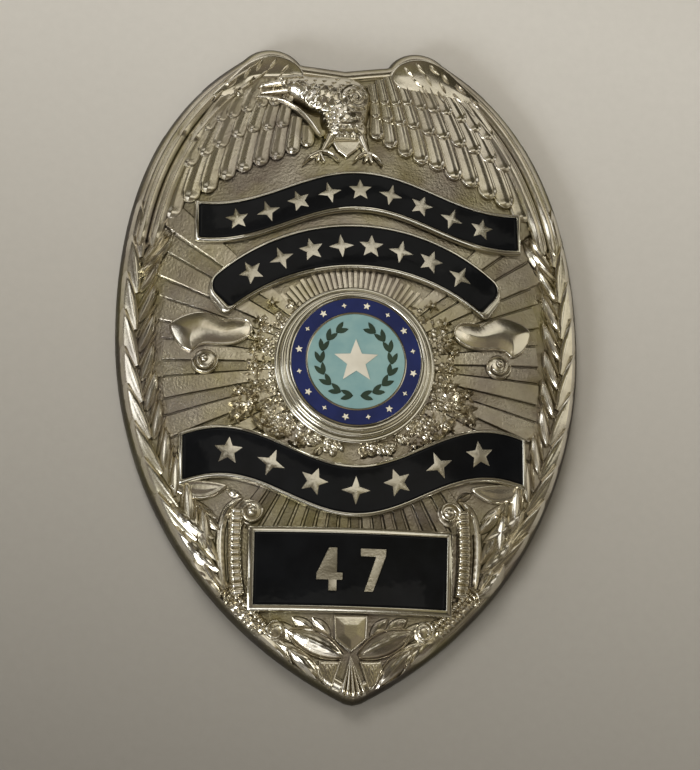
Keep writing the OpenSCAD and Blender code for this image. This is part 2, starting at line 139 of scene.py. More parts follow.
def smooth_line(points, count, closed=False):
    """A smooth line through a few places."""
    p = np.asarray(points, float)
    p = np.vstack([p[-1:], p, p[:2]] if closed else [2 * p[0] - p[1], p, 2 * p[-1] - p[-2]])
    t = np.linspace(0, 1, 16, endpoint=False)[:, None]
    out = []
    for a, b, c, d in zip(p, p[1:], p[2:], p[3:]):
        out.append(0.5 * (2 * b + (c - a) * t + (2 * a - 5 * b + 4 * c - d) * t**2
                          + (3 * b - a - 3 * c + d) * t**3))
    return resampled(np.vstack(out if closed else out + [p[-2:-1]]), count, closed)


def left_normals(path, closed=False):
    along = np.roll(path, -1, axis=0) - np.roll(path, 1, axis=0) if closed else np.gradient(path, axis=0)
    return left_of(along / length_of(along))


def inward_normals(loop):
    x, y = loop.T
    area = np.sum(x * np.roll(y, -1) - y * np.roll(x, -1))
    return left_normals(loop, closed=True) * (1 if area > 0 else -1)


# Levels: every place stands on the dome


def dome(x, y):
    belly = ACROSS - ALONG + np.sqrt(ALONG**2 - np.asarray(y) ** 2)
    return DOME - ACROSS + np.sqrt(belly**2 - np.asarray(x) ** 2)


def on_dome(places, height):
    """places (..., 2) with a height above the ground, as (..., 3)."""
    places = np.asarray(places, float)
    z = dome(places[..., 0], places[..., 1]) + height
    return np.concatenate([places, z[..., None]], axis=-1)


def at_level(places, z):
    return np.concatenate([places, np.full((len(places), 1), z)], axis=1)


# Outline of the shield


WIDEST = np.array([26.1, 3.5])
FOOT_TIP = [0, -37.65]


def upper_edge(start, t):
    """The right rim from the lobe at the top down to the widest place."""
    return bezier(start, np.add(start, [1.4, -1.4]), WIDEST + [0, 26.4], WIDEST, t)


def half_outline():
    notch, foot = [0, 35.6], [0.9, -37.45]
    lobe = arc(np.array([8.5, 34.3]), 4.0, 150, 45, 40)
    t = np.linspace(0, 1, 90)[1:]
    lower = bezier(WIDEST, WIDEST - [0, 13.6], [0.762 * WIDEST[0], -27.8], foot, t)
    return np.vstack([np.linspace(notch, lobe[0], 12)[:-1], lobe, upper_edge(lobe[-1], t), lower])


HALF = half_outline()
OUTLINE = resampled(np.vstack([HALF, [FOOT_TIP], (HALF * [-1, 1])[:0:-1]]), 760, closed=True)
INWARD = inward_normals(OUTLINE)
SPACING = float(np.linalg.norm(OUTLINE[1] - OUTLINE[0]))
FOOT_AT = int(np.argmin(OUTLINE[:, 1]))

# Distance inside the outline and drop of the ground there
RIM = ((0.0, -1.0), (0.16, -0.68), (0.35, -0.4), (0.6, -0.14), (0.9, 0.0))
LEAST_INSET = 0.4
MAP_X, MAP_Y, MAP_STEP = 28.0, 40.0, 0.25


def distance_map():
    """Distance inside the outline over a grid, with its slope, for the relief near the rim."""
    gx, gy = np.meshgrid(np.arange(-MAP_X, MAP_X + 0.01, MAP_STEP),
                         np.arange(-MAP_Y, MAP_Y + 0.01, MAP_STEP))
    best, sign = np.full(gx.shape, 1e9), np.zeros(gx.shape)
    for p, n in zip(OUTLINE, INWARD):
        dx, dy = gx - p[0], gy - p[1]
        away = dx**2 + dy**2
        sign = np.where(away < best, dx * n[0] + dy * n[1], sign)
        best = np.minimum(best, away)
    depth = np.sqrt(best) * np.where(sign >= 0, 1, -1)
    return (depth, *np.gradient(depth, MAP_STEP)[::-1])


def looked_up(table, places):
    u = np.clip((places[..., 0] + MAP_X) / MAP_STEP, 0, table.shape[1] - 1.001)
    v = np.clip((places[..., 1] + MAP_Y) / MAP_STEP, 0, table.shape[0] - 1.001)
    i, j = u.astype(int), v.astype(int)
    fu, fv = u - i, v - j
    return ((table[j, i] * (1 - fu) + table[j, i + 1] * fu) * (1 - fv)
            + (table[j + 1, i] * (1 - fu) + table[j + 1, i + 1] * fu) * fv)


DEPTH, DEPTH_X, DEPTH_Y = distance_map()


def on_ground(places, height):
    """Like on_dome, but follows the drop of the rim, and never leaves the outline."""
    places = np.asarray(places, float)
    depth = looked_up(DEPTH, places)
    slope = np.stack([looked_up(DEPTH_X, places), looked_up(DEPTH_Y, places)], axis=-1)
    slope = slope / np.maximum(0.5, length_of(slope))
    places = places + slope * np.maximum(0, LEAST_INSET - depth)[..., None]
    return on_dome(places, height + np.interp(np.maximum(depth, LEAST_INSET), *zip(*RIM)))


# Meshes


def net(first, rows, cols, around=True, closed=False):
    """Quads of a net of points. around joins the last column to the first, closed the last row."""
    j, i = np.meshgrid(np.arange(rows - (not closed)), np.arange(cols - (not around)), indexing="ij")
    here, beyond, after = j * cols, (j + 1) % rows * cols, (i + 1) % cols
    return first + np.stack([here + i, here + after, beyond + after, beyond + i], axis=-1).reshape(-1, 4)


class Relief:
    """Collects closed skins and turns them into one mesh object with a shade from recess to crest, which the
    metal shows as olive patina and painted shade in the recesses and bright plating on the crests.
    """

    def __init__(self):
        self.points, self.shades, self.quads, self.tris, self.count = [], [], [], [], 0

    def take(self, points, shades):
        """Adds points and gives the number of the first."""
        points = np.asarray(points, float).reshape(-1, 3)
        self.points.append(points)
        self.shades.append(np.broadcast_to(np.reshape(shades, -1), (len(points),)))
        self.count += len(points)
        return self.count - len(points)

    def skin(self, rings, start, end, shades=1.0, end_shade=0.5):
        """rings (m, n, 3) of closed loops, closed at both ends by a point."""
        rings = np.asarray(rings, float)
        m, n, _ = rings.shape
        first = self.take(rings, np.broadcast_to(shades, (m, n)))
        self.quads.append(net(first, m, n))
        k = np.arange(n)
        for ring, point, flip in ((0, start, True), (m - 1, end, False)):
            p, q = first + ring * n + k, first + ring * n + (k + 1) % n
            tip = np.full(n, self.take(point, end_shade))
            self.tris.append(np.stack([q, p, tip] if flip else [p, q, tip], axis=-1))

    def loops(self, rings, shades, grid_caps=True):
        """rings of a closed outline stacked from bottom to top, with flat caps at both ends."""
        rings = np.asarray(rings, float)
        m, n, _ = rings.shape
        first = self.take(rings, np.broadcast_to(np.reshape(shades, (-1, 1)), (m, n)))
        self.quads.append(net(first, m, n))
        for ring in (0, m - 1):
            base = first + ring * n
            if grid_caps:
                k = np.arange(n // 2 - 1)
                self.quads.append(base + np.stack([k, k + 1, n - 2 - k, n - 1 - k], axis=-1))
            else:
                flat = [Vector((p[0], p[1], 0)) for p in rings[ring]]
                self.tris.append(base + np.array(tessellate_polygon([flat])))

    def sheet(self, grid, drop, shades):
        """A closed slab under a grid (m, n, 3) of places, its underside lower by drop."""
        m, n, _ = grid.shape
        top, bottom = self.take(grid, shades), self.take(grid - [0, 0, drop], 0.0)
        face = net(0, m, n, around=False)
        self.quads += [top + face, bottom + face[:, ::-1]]
        rim = np.concatenate([np.arange(n), np.arange(1, m) * n + n - 1,
                              (m - 1) * n + np.arange(n - 2, -1, -1), np.arange(m - 2, 0, -1) * n])
        after = np.roll(rim, -1)
        self.quads.append(np.stack([top + rim, bottom + rim, bottom + after, top + after], axis=-1))

    def made(self, name, material, smooth=50.0):
        """The mesh object. Edges sharper than smooth, in degrees, stay sharp."""
        points, shades = np.concatenate(self.points) * MM, np.concatenate(self.shades)
        mesh = bpy.data.meshes.new(name)
        faces = [np.concatenate(kind) for kind in (self.quads, self.tris) if kind]
        corners = np.concatenate([f.reshape(-1) for f in faces]).astype(np.int32)
        totals = np.concatenate([np.full(len(f), f.shape[1]) for f in faces])
        starts = np.concatenate([[0], np.cumsum(totals)[:-1]]).astype(np.int32)
        mesh.vertices.add(len(points))
        mesh.vertices.foreach_set("co", points.astype(np.float32).reshape(-1))
        mesh.loops.add(len(corners))
        mesh.loops.foreach_set("vertex_index", corners)
        mesh.polygons.add(len(starts))
        mesh.polygons.foreach_set("loop_start", starts)
        mesh.update(calc_edges=True)
        # The crest value: low in recesses and on walls, where the metal paints shade as well as olive patina
        layer = mesh.attributes.new("crest", "FLOAT", "POINT")
        layer.data.foreach_set("value", np.clip(shades, 0, 1).astype(np.float32))
        form = bmesh.new()
        form.from_mesh(mesh)
        bmesh.ops.remove_doubles(form, verts=form.verts, dist=1e-7)
        bmesh.ops.dissolve_degenerate(form, edges=form.edges, dist=1e-7)
        bmesh.ops.recalc_face_normals(form, faces=form.faces)
        form.to_mesh(mesh)
        form.free()
        mesh.validate()
        mesh.polygons.foreach_set("use_smooth", np.ones(len(mesh.polygons), bool))
        mesh.set_sharp_from_angle(angle=math.radians(smooth))
        piece = bpy.data.objects.new(name, mesh)
        bpy.context.scene.collection.objects.link(piece)
        mesh.materials.append(material)
        return piece


# Raised forms


def arch(count, power, shaft=0.0, keel=0.12):
    """A rounded section, with a raised shaft on its middle if asked."""
    s = np.linspace(-1, 1, count)
    return s, (1 - np.abs(s) ** power) * (1 - shaft) + shaft * np.exp(-((s / keel) ** 2))


def ridge(relief, path, half, base, crest, profile, shade=(0.15, 1.0)):
    """A raised form along path. half and crest are numbers or rows, base is the level of its two sides.

    profile pairs places across it, from -1 on the right to 1 on the left, with shares of the crest."""
    path = np.asarray(path, float)
    half, base, crest = (np.broadcast_to(v, len(path))[:, None] for v in (half, base, crest))
    across, share = profile
    place = path[:, None] + left_normals(path)[:, None] * (half * across)[..., None]
    rings = np.concatenate([on_ground(place, base + crest * share),
                            on_ground(place[:, [-1, 0]], UNDER)], axis=1)
    rise = share if share.ndim == 1 else share / max(1e-6, float(np.max(share)))
    # Tone rises from the sides to the crest and is 0 on the walls: where it is low the metal paints shade and
    # olive patina
    tone = np.zeros(rings.shape[:2])
    tone[:, :-2] = shade[0] + (shade[1] - shade[0]) * np.clip(rise, 0, 1)
    relief.skin(rings, rings[0].mean(axis=0), rings[-1].mean(axis=0), tone)


def strand(relief, path, half, swell, tip, base, crest, section=(9, 2.0), shade=(0.15, 1.0), least=0.04):
    """A ridge that widens over the share swell of its length, and closes over the last share tip."""
    t = np.linspace(0, 1, len(path))
    rise = np.clip(t / swell, 0, 1) ** 0.6
    fall = np.sqrt(np.clip(1 - np.clip((t - (1 - tip)) / tip, 0, 1) ** 2, 0, 1))
    ridge(relief, path, half * np.maximum(least, rise * fall), base, crest, arch(*section), shade)


def bead(relief, p, r, height, flat=0.8, rows=7, cols=16):
    """A round bead on the ground."""
    lifts = np.linspace(0.0, 0.92, rows)
    rings = [on_dome(p + r * circle(cols), UNDER)]
    for f in lifts * np.pi / 2:
        rings.append(on_dome(p + r * math.cos(f) * circle(cols), height + r * flat * math.sin(f)))
    tones = np.concatenate([[0.25], 0.3 + 0.7 * lifts])
    relief.skin(rings, on_dome(p, UNDER), on_dome(p, height + r * flat), tones[:, None], 1.0)


def leaf_half(width, t):
    return width / 2 * np.maximum(0.03, np.sin(np.pi * np.clip(t * 0.93 + 0.05, 0, 1)) ** 0.75)


def leaf(relief, root, tip, width, height, bow=0.0, base=0.0, rows=16, cols=15, vein=0.03, low=0.0):
    """A pointed leaf with a fine rib, soft halves and faint side veins."""
    t, s = np.linspace(0, 1, rows), np.linspace(-1, 1, cols)
    length = np.linalg.norm(np.subtract(tip, root))
    veins = vein * np.cos(2 * np.pi * (3.2 * t[:, None] * length / 4 - 0.9 * np.abs(s)))
    body = 0.35 * (1 - np.abs(s)) + 0.65 * (1 - np.abs(s) ** 2.2)
    rib = 0.14 * np.exp(-((s / 0.13) ** 2))
    swell = 0.45 + 0.55 * np.sin(np.pi * np.clip(t * 0.8 + 0.15, 0, 1))
    share = height * swell[:, None] * np.clip(body * (0.9 + veins) + rib, 0, 1.2)
    ridge(relief, bowed(root, tip, bow, t), leaf_half(width, t), base, 1.0, (s, share), (low, 1.0))


def depth_inside(x, y, outline):
    """Distance to an outline of straight pieces, above zero inside it."""
    best, crossings = np.full(x.shape, 1e9), np.zeros(x.shape, int)
    for a, b in zip(outline, np.roll(outline, -1, axis=0)):
        d = b - a
        t = np.clip(((x - a[0]) * d[0] + (y - a[1]) * d[1]) / max(1e-12, float(d @ d)), 0, 1)
        best = np.minimum(best, np.hypot(x - a[0] - t * d[0], y - a[1] - t * d[1]))
        meet = a[0] + (y - a[1]) / (d[1] if abs(d[1]) > 1e-12 else 1e-12) * d[0]
        crossings += ((a[1] > y) != (b[1] > y)) & (x < meet)
    return np.where(crossings % 2 == 1, best, -best)


NUDGE = 1e-3


def height_patch(relief, low_corner, high_corner, step, form, shade_low=0.1):
    """A closed relief over the places where form says so: form(x, y) gives height and depth inside."""
    nx, ny = (int((b - a) / step) + 1 for a, b in zip(low_corner, high_corner))
    gx, gy = np.meshgrid(np.linspace(low_corner[0], high_corner[0], nx),
                         np.linspace(low_corner[1], high_corner[1], ny))
    keep = form(gx, gy)[1] > 0
    near = keep.copy()
    near[1:] |= keep[:-1]
    near[:-1] |= keep[1:]
    grown = near.copy()
    grown[:, 1:] |= near[:, :-1]
    grown[:, :-1] |= near[:, 1:]
    move = grown & ~keep
    # The places round the form slide onto its outline
    for _ in range(3):
        inside = form(gx, gy)[1]
        dx = (form(gx + NUDGE, gy)[1] - inside) / NUDGE
        dy = (form(gx, gy + NUDGE)[1] - inside) / NUDGE
        slide = np.where(move, inside / np.maximum(dx * dx + dy * dy, 0.2), 0)
        gx = gx - np.clip(slide * dx, -step, step) * 0.98
        gy = gy - np.clip(slide * dy, -step, step) * 0.98
    height = form(gx, gy)[0]
    height = np.where(move, np.minimum(height, 0.05), height)
    quarters = ((0, 0), (0, 1), (1, 0), (1, 1))
    corners = [(slice(j, ny - 1 + j), slice(i, nx - 1 + i)) for j, i in quarters]
    cell = np.all([grown[c] for c in corners], axis=0) & np.any([keep[c] for c in corners], axis=0)
    used = np.zeros_like(grown)
    for c in corners:
        used[c] |= cell
    index = -np.ones(used.shape, int)
    index[used] = np.arange(used.sum())
    place, height = np.stack([gx[used], gy[used]], axis=-1), height[used]
    # Lower places get lower tones, which the metal shows as painted shade and olive patina
    tone = shade_low + (1 - shade_low) * np.clip(height / max(1e-6, float(height.max())), 0, 1)
    top, bottom = relief.take(on_ground(place, height), tone), relief.take(on_ground(place, UNDER), 0.0)
    j, i = np.nonzero(cell)
    quad = np.stack([index[j, i], index[j, i + 1], index[j + 1, i + 1], index[j + 1, i]], axis=-1)
    relief.quads += [top + quad, bottom + quad[:, ::-1]]
    edges = {}
    for a, b in zip(quad.reshape(-1), np.roll(quad, -1, axis=1).reshape(-1)):
        if (b, a) in edges:
            del edges[(b, a)]
        else:
            edges[(a, b)] = True
    a, b = np.array(list(edges)).T
    relief.quads.append(np.stack([top + b, top + a, bottom + a, bottom + b], axis=-1))


def crown(edge_height, rise, width):
    """Levels for patch_shape: a rounded edge, then a soft swell that ends level."""
    depths = np.linspace(0.2, width, 14)
    soft = edge_height + rise * (1 - (1 - depths / width) ** 2)
    start = ((0.0, 0.35 * edge_height), (0.05, 0.78 * edge_height), (0.12, 0.95 * edge_height))
    return (*start, *zip(depths, soft))


def patch_shape(relief, points, step, levels, corners=False, detail=None):
    """A flat or crowned form over an outline. levels pairs the depth inside with the height there."""
    outline = np.asarray(points, float) if corners else smooth_line(points, 72, closed=True)

    def form(x, y):
        depth = depth_inside(x, y, outline)
        height = np.interp(depth, *zip(*levels))
        return (height if detail is None else height + detail(x, y, depth)), depth

    height_patch(relief, outline.min(axis=0) - 2.1 * step, outline.max(axis=0) + 2.1 * step, step, form)


def capsules(x, y, parts, cone=0.0):
    """Heights and depths inside of tapered fingers: both ends, both radii, both heights of each."""
    heights, depths = [], []
    for a, b, r_a, r_b, h_a, h_b in parts:
        d = np.subtract(b, a)
        t = np.clip(((x - a[0]) * d[0] + (y - a[1]) * d[1]) / max(1e-9, d @ d), 0, 1)
        r = r_a + (r_b - r_a) * t
        gap = np.hypot(x - a[0] - t * d[0], y - a[1] - t * d[1]) / r
        lift = (1 - cone) * np.sqrt(np.clip(1 - gap**2, 0, 1)) + cone * np.clip(1 - gap, 0, 1)
        heights.append((h_a + (h_b - h_a) * t) * lift)
        depths.append((1 - gap) * r)
    return heights, depths


def blended(parts, sharp):
    """Smooth greatest of several heights."""
    stack = np.stack(parts)
    top = stack.max(axis=0)
    return top + np.log(np.exp((stack - top) * sharp).sum(axis=0)) / sharp


# Body and rays of the shield


# Distance inside the outline, height and shade of the polished rim; the low shades of its outer bevel darken
# it there with painted shade
BODY_RIM = ((2.1, 0.0, 0.25), (1.85, 0.02, 0.1), (1.72, 0.16, 0.5), (1.62, 0.29, 0.8), (1.48, 0.35, 0.9),
            (1.3, 0.35, 1.0), (1.1, 0.29, 1.0), (0.85, 0.15, 0.8), (0.6, -0.06, 0.4), (0.4, -0.28, 0.1),
            (0.22, -0.56, 0.0), (0.1, -0.82, 0.0), (0.04, -1.0, 0.0))
GROUND_SHADE = 0.27
BACK_SHADE = 0.35


def shield_body(metal):
    relief = Relief()
    rings = [on_dome(OUTLINE * s, 0.0) for s in np.linspace(0.04, 0.9, 44)]
    tones = [GROUND_SHADE] * len(rings)
    for inset, height, tone in BODY_RIM:
        rings.append(on_dome(OUTLINE + INWARD * inset, height))
        tones.append(tone)
    wall = rings[-1][:, 2:]
    for share, inset in ((0.6, 0.0), (0.25, 0.0), (0.0, 0.06)):
        rings.append(np.hstack([OUTLINE + INWARD * inset, wall * share]))
    rings += [at_level(OUTLINE + INWARD * inset, 0.0) for inset in (0.25, 1.5)]
    roof = on_dome(OUTLINE + INWARD * SHEET, -SHEET)
    roof[:, 2] = np.maximum(roof[:, 2], 0.4)
    rings.append(roof)
    rings += [on_dome(OUTLINE * share, -SHEET) for share in (0.8, 0.6, 0.4, 0.2, 0.05)]
    # The outer wall gets tone 0, painted shade; then the flat rim and the hollow of the back
    tones += [0.0, 0.0, 0.0, 0.4, 0.4] + [BACK_SHADE] * 6
    relief.skin(rings, on_dome(np.zeros(2), 0.0), on_dome(np.zeros(2), -SHEET), np.array(tones)[:, None], 0.3)
    return relief.made("shield_body", metal)


def ray(relief, angle, half_deg, r0, r1, height, rows, cols, shade, grain=0.0):
    """A raised ray round the seal, from r0 to r1, stippled if grain is set."""
    s = np.linspace(-1, 1, cols)
    reach = np.broadcast_to((r0 + (r1 - r0) * np.linspace(0, 1, rows))[:, None], (rows, cols))
    edge_fall = np.minimum(1.0, (1 - np.abs(s)) / 0.12)
    lift = height * np.broadcast_to(0.25 + 0.75 * np.sqrt(edge_fall), (rows, cols))
    if grain:
        lift = lift + grain * rng.uniform(-1, 1, (rows, cols)) * (edge_fall > 0.5)
    # The edges get lower tones: painted shade along them in the metal
    tone = np.broadcast_to(shade * (0.3 + 0.7 * edge_fall), (rows, cols))
    relief.sheet(on_dome(polar(reach, angle + half_deg * s), lift), 0.3, tone)


RAY_STEP = 12.0
RAY_REACH = 21.0
# Smooth rays, then the stippled ones between them: shift, half width in degrees, height, net, shade, grain
RAY_KINDS = ((0.5, 3.35, 0.32, 10, 15, 0.4, 0.0), (0.0, 2.4, 0.17, 150, 17, 0.28, 0.026))


def side_rays(name, sign, metal):
    relief = Relief()
    for shift, half, height, rows, cols, shade, grain in RAY_KINDS:
        for middle in (np.arange(-3, 4) + shift) * RAY_STEP:
            ray(relief, middle if sign > 0 else 180 - middle, half, 9.2,
                RAY_REACH / math.cos(math.radians(middle)), height, rows, cols, shade, grain)
    return relief.made(name, metal, smooth=35)


def short_rays(metal):
    """The fine rays over the bezel, and those that show under the lower ribbon."""
    relief = Relief()
    for k in range(26):
        ray(relief, 46 + 88 * k / 25, 1.25, 9.1, 11.2 + 0.3 * (k % 2), 0.28, 5, 9, 0.45)
    for k in range(19):
        angle = -126 + 4 * k
        far = 18.4 / abs(math.sin(math.radians(angle)))
        ray(relief, angle, 1.7, 14.5, far, 0.34 - 0.12 * (k % 2), 6, 9, 0.22 - 0.08 * (k % 2))
    return relief.made("short_rays", metal, smooth=35)


# Leaf borders


def by_rim(up, inset):
    """Places on the right half, by their run along the rim from the foot and their distance inside it."""
    at = FOOT_AT - up / SPACING
    i = np.floor(at).astype(int)
    f = (at - i)[..., None]
    edge_place = OUTLINE[i] * (1 - f) + OUTLINE[i + 1] * f
    return edge_place + (INWARD[i] * (1 - f) + INWARD[i + 1] * f) * inset[..., None]


def blade(relief, sign, up, length, inset0, inset1, width, height, curl=0.0, lean=0.1, lip=0.2, cols=21):
    """A smooth leaf that follows the rim, its crest nearer to the middle of the badge."""
    t, s = np.linspace(0, 1, 30), np.linspace(-1, 1, cols)
    path = by_rim(up + length * t, inset0 + (inset1 - inset0) * t + curl * 4 * t * (1 - t)) * [sign, 1.0]
    half = width / 2 * np.maximum(0.05, np.sin(np.pi * np.clip(0.06 + 0.92 * t, 0, 1)) ** 0.65)
    out = s * sign - lean
    body = np.clip(1 - np.abs(out / np.where(out > 0, 1 - lean, 1 + lean)) ** 2.1, 0, 1)
    body = lip + (1 - lip) * body + 0.12 * np.exp(-((out / 0.12) ** 2))
    body[[0, -1]] = 0.0
    share = height * (0.62 + 0.38 * t)[:, None] * body
    # Painted shade: the left border's recesses are darker than the right border's, for the different light on
    # the two sides
    ridge(relief, path, half, 0.0, 1.0, (s, share), shade=(0.05 if sign < 0 else 0.2, 1.0))


def leaf_border(name, sign, metal):
    """Broad leaves that lie over the rim, and beside them large and thin leaves that lean inwards."""
    relief = Relief()
    flip = [sign, 1]
    for i in range(10):
        blade(relief, sign, 21.3 + 4.4 * i, 6.9, 2.1, 0.7, min(2.1, 1.4 + 0.17 * i), 0.85, curl=-0.2,
              lean=0.4, lip=0.38)
    for i in range(11):
        up = 24.2 + 3.6 * i
        wide = 1.3 + 0.2 * rng.uniform()
        blade(relief, sign, up + 1.6, 4.3, 2.3, 4.1 + 0.3 * rng.uniform(), 0.6, 0.85, cols=15)
        blade(relief, sign, up + 0.5, 3.4, 2.3, 4.4 + 0.3 * rng.uniform(), 0.5, 0.7, cols=15)
        blade(relief, sign, up, 4.5, 2.4, 4.0 + 0.4 * rng.uniform(), wide, 1.05, curl=0.15)
    # The top leaf and the thin one beside it
    for root, tip, width, height in (((23.6, 10.7), (19.8, 15.2), 1.75, 1.1),
                                     ((23.6, 9.9), (20.5, 13.7), 0.62, 0.95)):
        leaf(relief, np.multiply(root, flip), np.multiply(tip, flip), width, height, 0.25 * sign,
             rows=30, cols=23, vein=0.0)
    return relief.made(name, metal)


# Wings


# The fan: its roots and tips run from the eagle outwards
ROOTS = ((2.4, 33.4), (4.6, 36.6), (9.6, 37.2), (12.6, 33.2))
TIPS = ((2.4, 27.2), (7.5, 23.0), (14.5, 22.6), (21.2, 16.5))
FEATHERS = 10
# Rows from the tips up: share of the fan's length where they begin and end, level, thickness
FEATHER_ROWS = ((0.5, 1.0, 0.74, 0.8), (0.28, 0.66, 0.94, 0.66), (0.08, 0.42, 1.1, 0.55))
# Two long feathers along the rim: distance from the outline, half width, level
LEADING = ((1.72, 0.76, 0.8), (3.25, 0.84, 0.92))
LEADING_START = (11.33, 37.13)
# The left wing's long feathers overlap in three lengths: where each begins and ends, and its extra level
LEADING_PARTS = ((0.6, 1.0, 0.0), (0.29, 0.67, 0.13), (0.0, 0.36, 0.26))
# Smooth top of the wing, and the short raised strokes on it
SHOULDER = ((4.9, 34.5), (6.1, 36.2), (8.5, 37.0), (11.1, 36.2), (13.7, 33.8), (15.5, 31.9),
            (14.3, 31.5), (11.6, 32.0), (8.6, 32.4), (5.9, 32.9))
STROKES = ((6.6, 35.6), (8.0, 36.3), (9.6, 36.2), (11.0, 35.3), (12.6, 33.9), (14.2, 32.3),
           (7.4, 34.4), (9.0, 34.9), (10.6, 34.1), (12.2, 32.7), (8.6, 33.4), (10.4, 32.8))


def fan_line(q, t):
    root, tip = bezier(*ROOTS, q), bezier(*TIPS, q)
    return bowed(root, tip, 0.15 + q * q, t)


def vane_section(t, thick, sign, crease):
    """Height over a feather: two soft halves, a fine raised line along one side, and a fuller tip."""
    s = np.linspace(-1, 1, 25)
    out = s * sign
    halves = 0.88 - crease * np.abs(out + 0.1)
    line = (0.36 + 0.06 * sign) * np.exp(-(((out - 0.7) / (0.16 + 0.03 * sign)) ** 2))
    body = (halves + line) * (1 - np.abs(s) ** 10)
    swell = 0.9 + 0.24 * np.exp(-(((t - 0.93) / 0.05) ** 2)) - 0.25 * np.clip((t - 0.93) / 0.07, 0, 1) ** 1.4
    return s, thick * 0.75 * swell[:, None] * body


def round_end(t, tip, least):
    """Width share that closes in a half circle over the last share tip of a feather."""
    return np.sqrt(np.clip(1 - np.clip((t - 1 + tip) / tip, 0, 1) ** 2, least, 1))


def feather(relief, q0, q1, t0, t1, height, thick, sign):
    t = 1 - (1 - np.linspace(0, 1, 34)) ** 1.35
    right_edge, path, left_edge = (fan_line(q, t0 + (t1 - t0) * t) for q in (q0, (q0 + q1) / 2, q1))
    wide = np.linalg.norm(left_edge - right_edge, axis=1) / 2
    tip = wide[-1] / np.linalg.norm(path[0] - path[-1]) * 1.1
    # Painted light and shade: the left wing gets darker tones and the right wing lighter ones, for the
    # different light on the two sides; the random share is each feather's own tone
    ridge(relief, path * [sign, 1], wide * 1.04 * round_end(t, tip, 0.0016), height - thick * 0.75, 1.0,
          vane_section(t, thick, sign, 0.28 - 0.08 * sign),
          shade=(0.1 + 0.15 * sign, (0.88 + 0.12 * sign) * rng.uniform(0.8, 1.0)))


def leading_feather(relief, sign, inset, half, level, first, last):
    share = last - first
    u = np.linspace(0, 1, int(30 + 140 * share))
    run = first + share * u
    line = upper_edge(LEADING_START, -0.02 + 0.87 * run)
    normals = left_normals(line)
    path = line + normals * inset * (1 if normals[20, 0] < 0 else -1)
    width = half * np.minimum(1, 0.35 + run * 3.2) * round_end(u, 0.025 / share, 0.002)
    ridge(relief, path * [sign, 1], width, level - 0.5, 1.0, vane_section(u, 1.1, sign, 0.75),
          shade=(0.0, 1.0))


def under_beak(x, y, depth):
    """The hollow in the left wing's smooth top that the head lies in."""
    return -0.7 * np.exp(-(((x + 8.4) / 2.6) ** 4) - ((y - 32.5) / 1.25) ** 4)


def wing(name, sign, metal):
    relief = Relief()
    flip = np.array([sign, 1])
    for row, (t0, t1, height, thick) in enumerate(FEATHER_ROWS):
        for i in range(FEATHERS):
            q = (i + 0.5) / FEATHERS
            longer = rng.uniform(-0.012, 0.022)
            # The eagle's head and neck lie over the inner feathers of the left wing
            if sign < 0 and row > 0 and q < 0.36 - 0.02 * row:
                continue
            start = max(t0, 0.96 - 1.5 * q) if sign < 0 and row == 0 else t0
            feather(relief, i / FEATHERS, (i + 1) / FEATHERS, start, t1 + longer,
                    height + rng.uniform(-0.05, 0.08), thick, sign)
    for inset, half, level in LEADING:
        for first, last, extra in LEADING_PARTS if sign < 0 else ((0.0, 1.0, 0.0),):
            leading_feather(relief, sign, inset, half, level + extra, first, last)
    patch_shape(relief, SHOULDER * flip, 0.12, crown(1.0, 0.2, 2.2), detail=under_beak if sign < 0 else None)
    for x, y in STROKES:
        heading = math.radians(-90 + rng.uniform(25, 45))
        if sign > 0 or y >= 33.7 or x >= 11.5:
            root = np.array([x, y])
            leaf(relief, root * flip, (root + 1.6 * toward(heading)) * flip, 0.46, 0.55, base=1.0,
                 rows=10, cols=11)
    return relief.made(name, metal)


# Eagle


EAGLE_BODY = (
    ((-0.5, 28.9), (-0.1, 31.4), 2.7, 2.9, 2.35, 2.1),
    ((-1.3, 27.7), (0.6, 27.6), 1.65, 1.6, 2.2, 1.9),
    ((-0.8, 31.5), (-3.4, 31.9), 2.9, 2.45, 2.3, 2.3),
    ((-3.3, 31.9), (-6.1, 32.85), 2.5, 1.7, 2.3, 2.4),
    ((-6.0, 32.85), (-7.2, 33.05), 1.7, 1.42, 2.4, 2.4),
    ((-7.1, 32.9), (-7.9, 32.85), 1.3, 1.0, 2.2, 2.1))
BEAK = (((-7.3, 33.0), (-9.7, 32.92), 0.72, 0.5, 2.6, 1.45),
        ((-9.7, 32.9), (-10.4, 32.3), 0.5, 0.26, 1.45, 1.0),
        ((-7.0, 31.95), (-9.8, 31.95), 0.5, 0.32, 2.35, 1.25))
BROW = ((-8.0, 33.65), (-5.3, 34.05), 0.28, 0.42, 1.0, 1.0)
MOUTH = ((-10.3, 32.42), (-7.7, 32.42), 0.12, 0.15, 1, 1)
EYE = (-7.25, 33.05)
SWIRL = (0.7, 31.3)
# The rows of scales stand round a place below the neck, so that they follow neck and breast
SCALES_ROUND = (-6.5, 26.5)
SCALE_ROW = 0.13
SCALE_WIDTH = 0.8


def eagle_scales(x, y):
    """Small overlapping feathers, from 0 in their grooves to 1 at their tips."""
    px, py = x - SCALES_ROUND[0], y - SCALES_ROUND[1]
    rows = -np.arctan2(py, px) / SCALE_ROW
    row = np.floor(rows)
    saw = rows - row
    column = np.hypot(px, py) / SCALE_WIDTH + 0.5 * (row % 2)
    edge_at = 0.95 - 0.4 * (np.abs(column - np.floor(column) - 0.5) * 2) ** 2
    scale = np.where(saw < edge_at, saw / edge_at, np.clip((edge_at + 0.18 - saw) / 0.18, 0, 1))
    return 0.45 + 0.55 * scale - 0.45 * np.exp(-(((saw - edge_at - 0.1) / 0.16) ** 2))


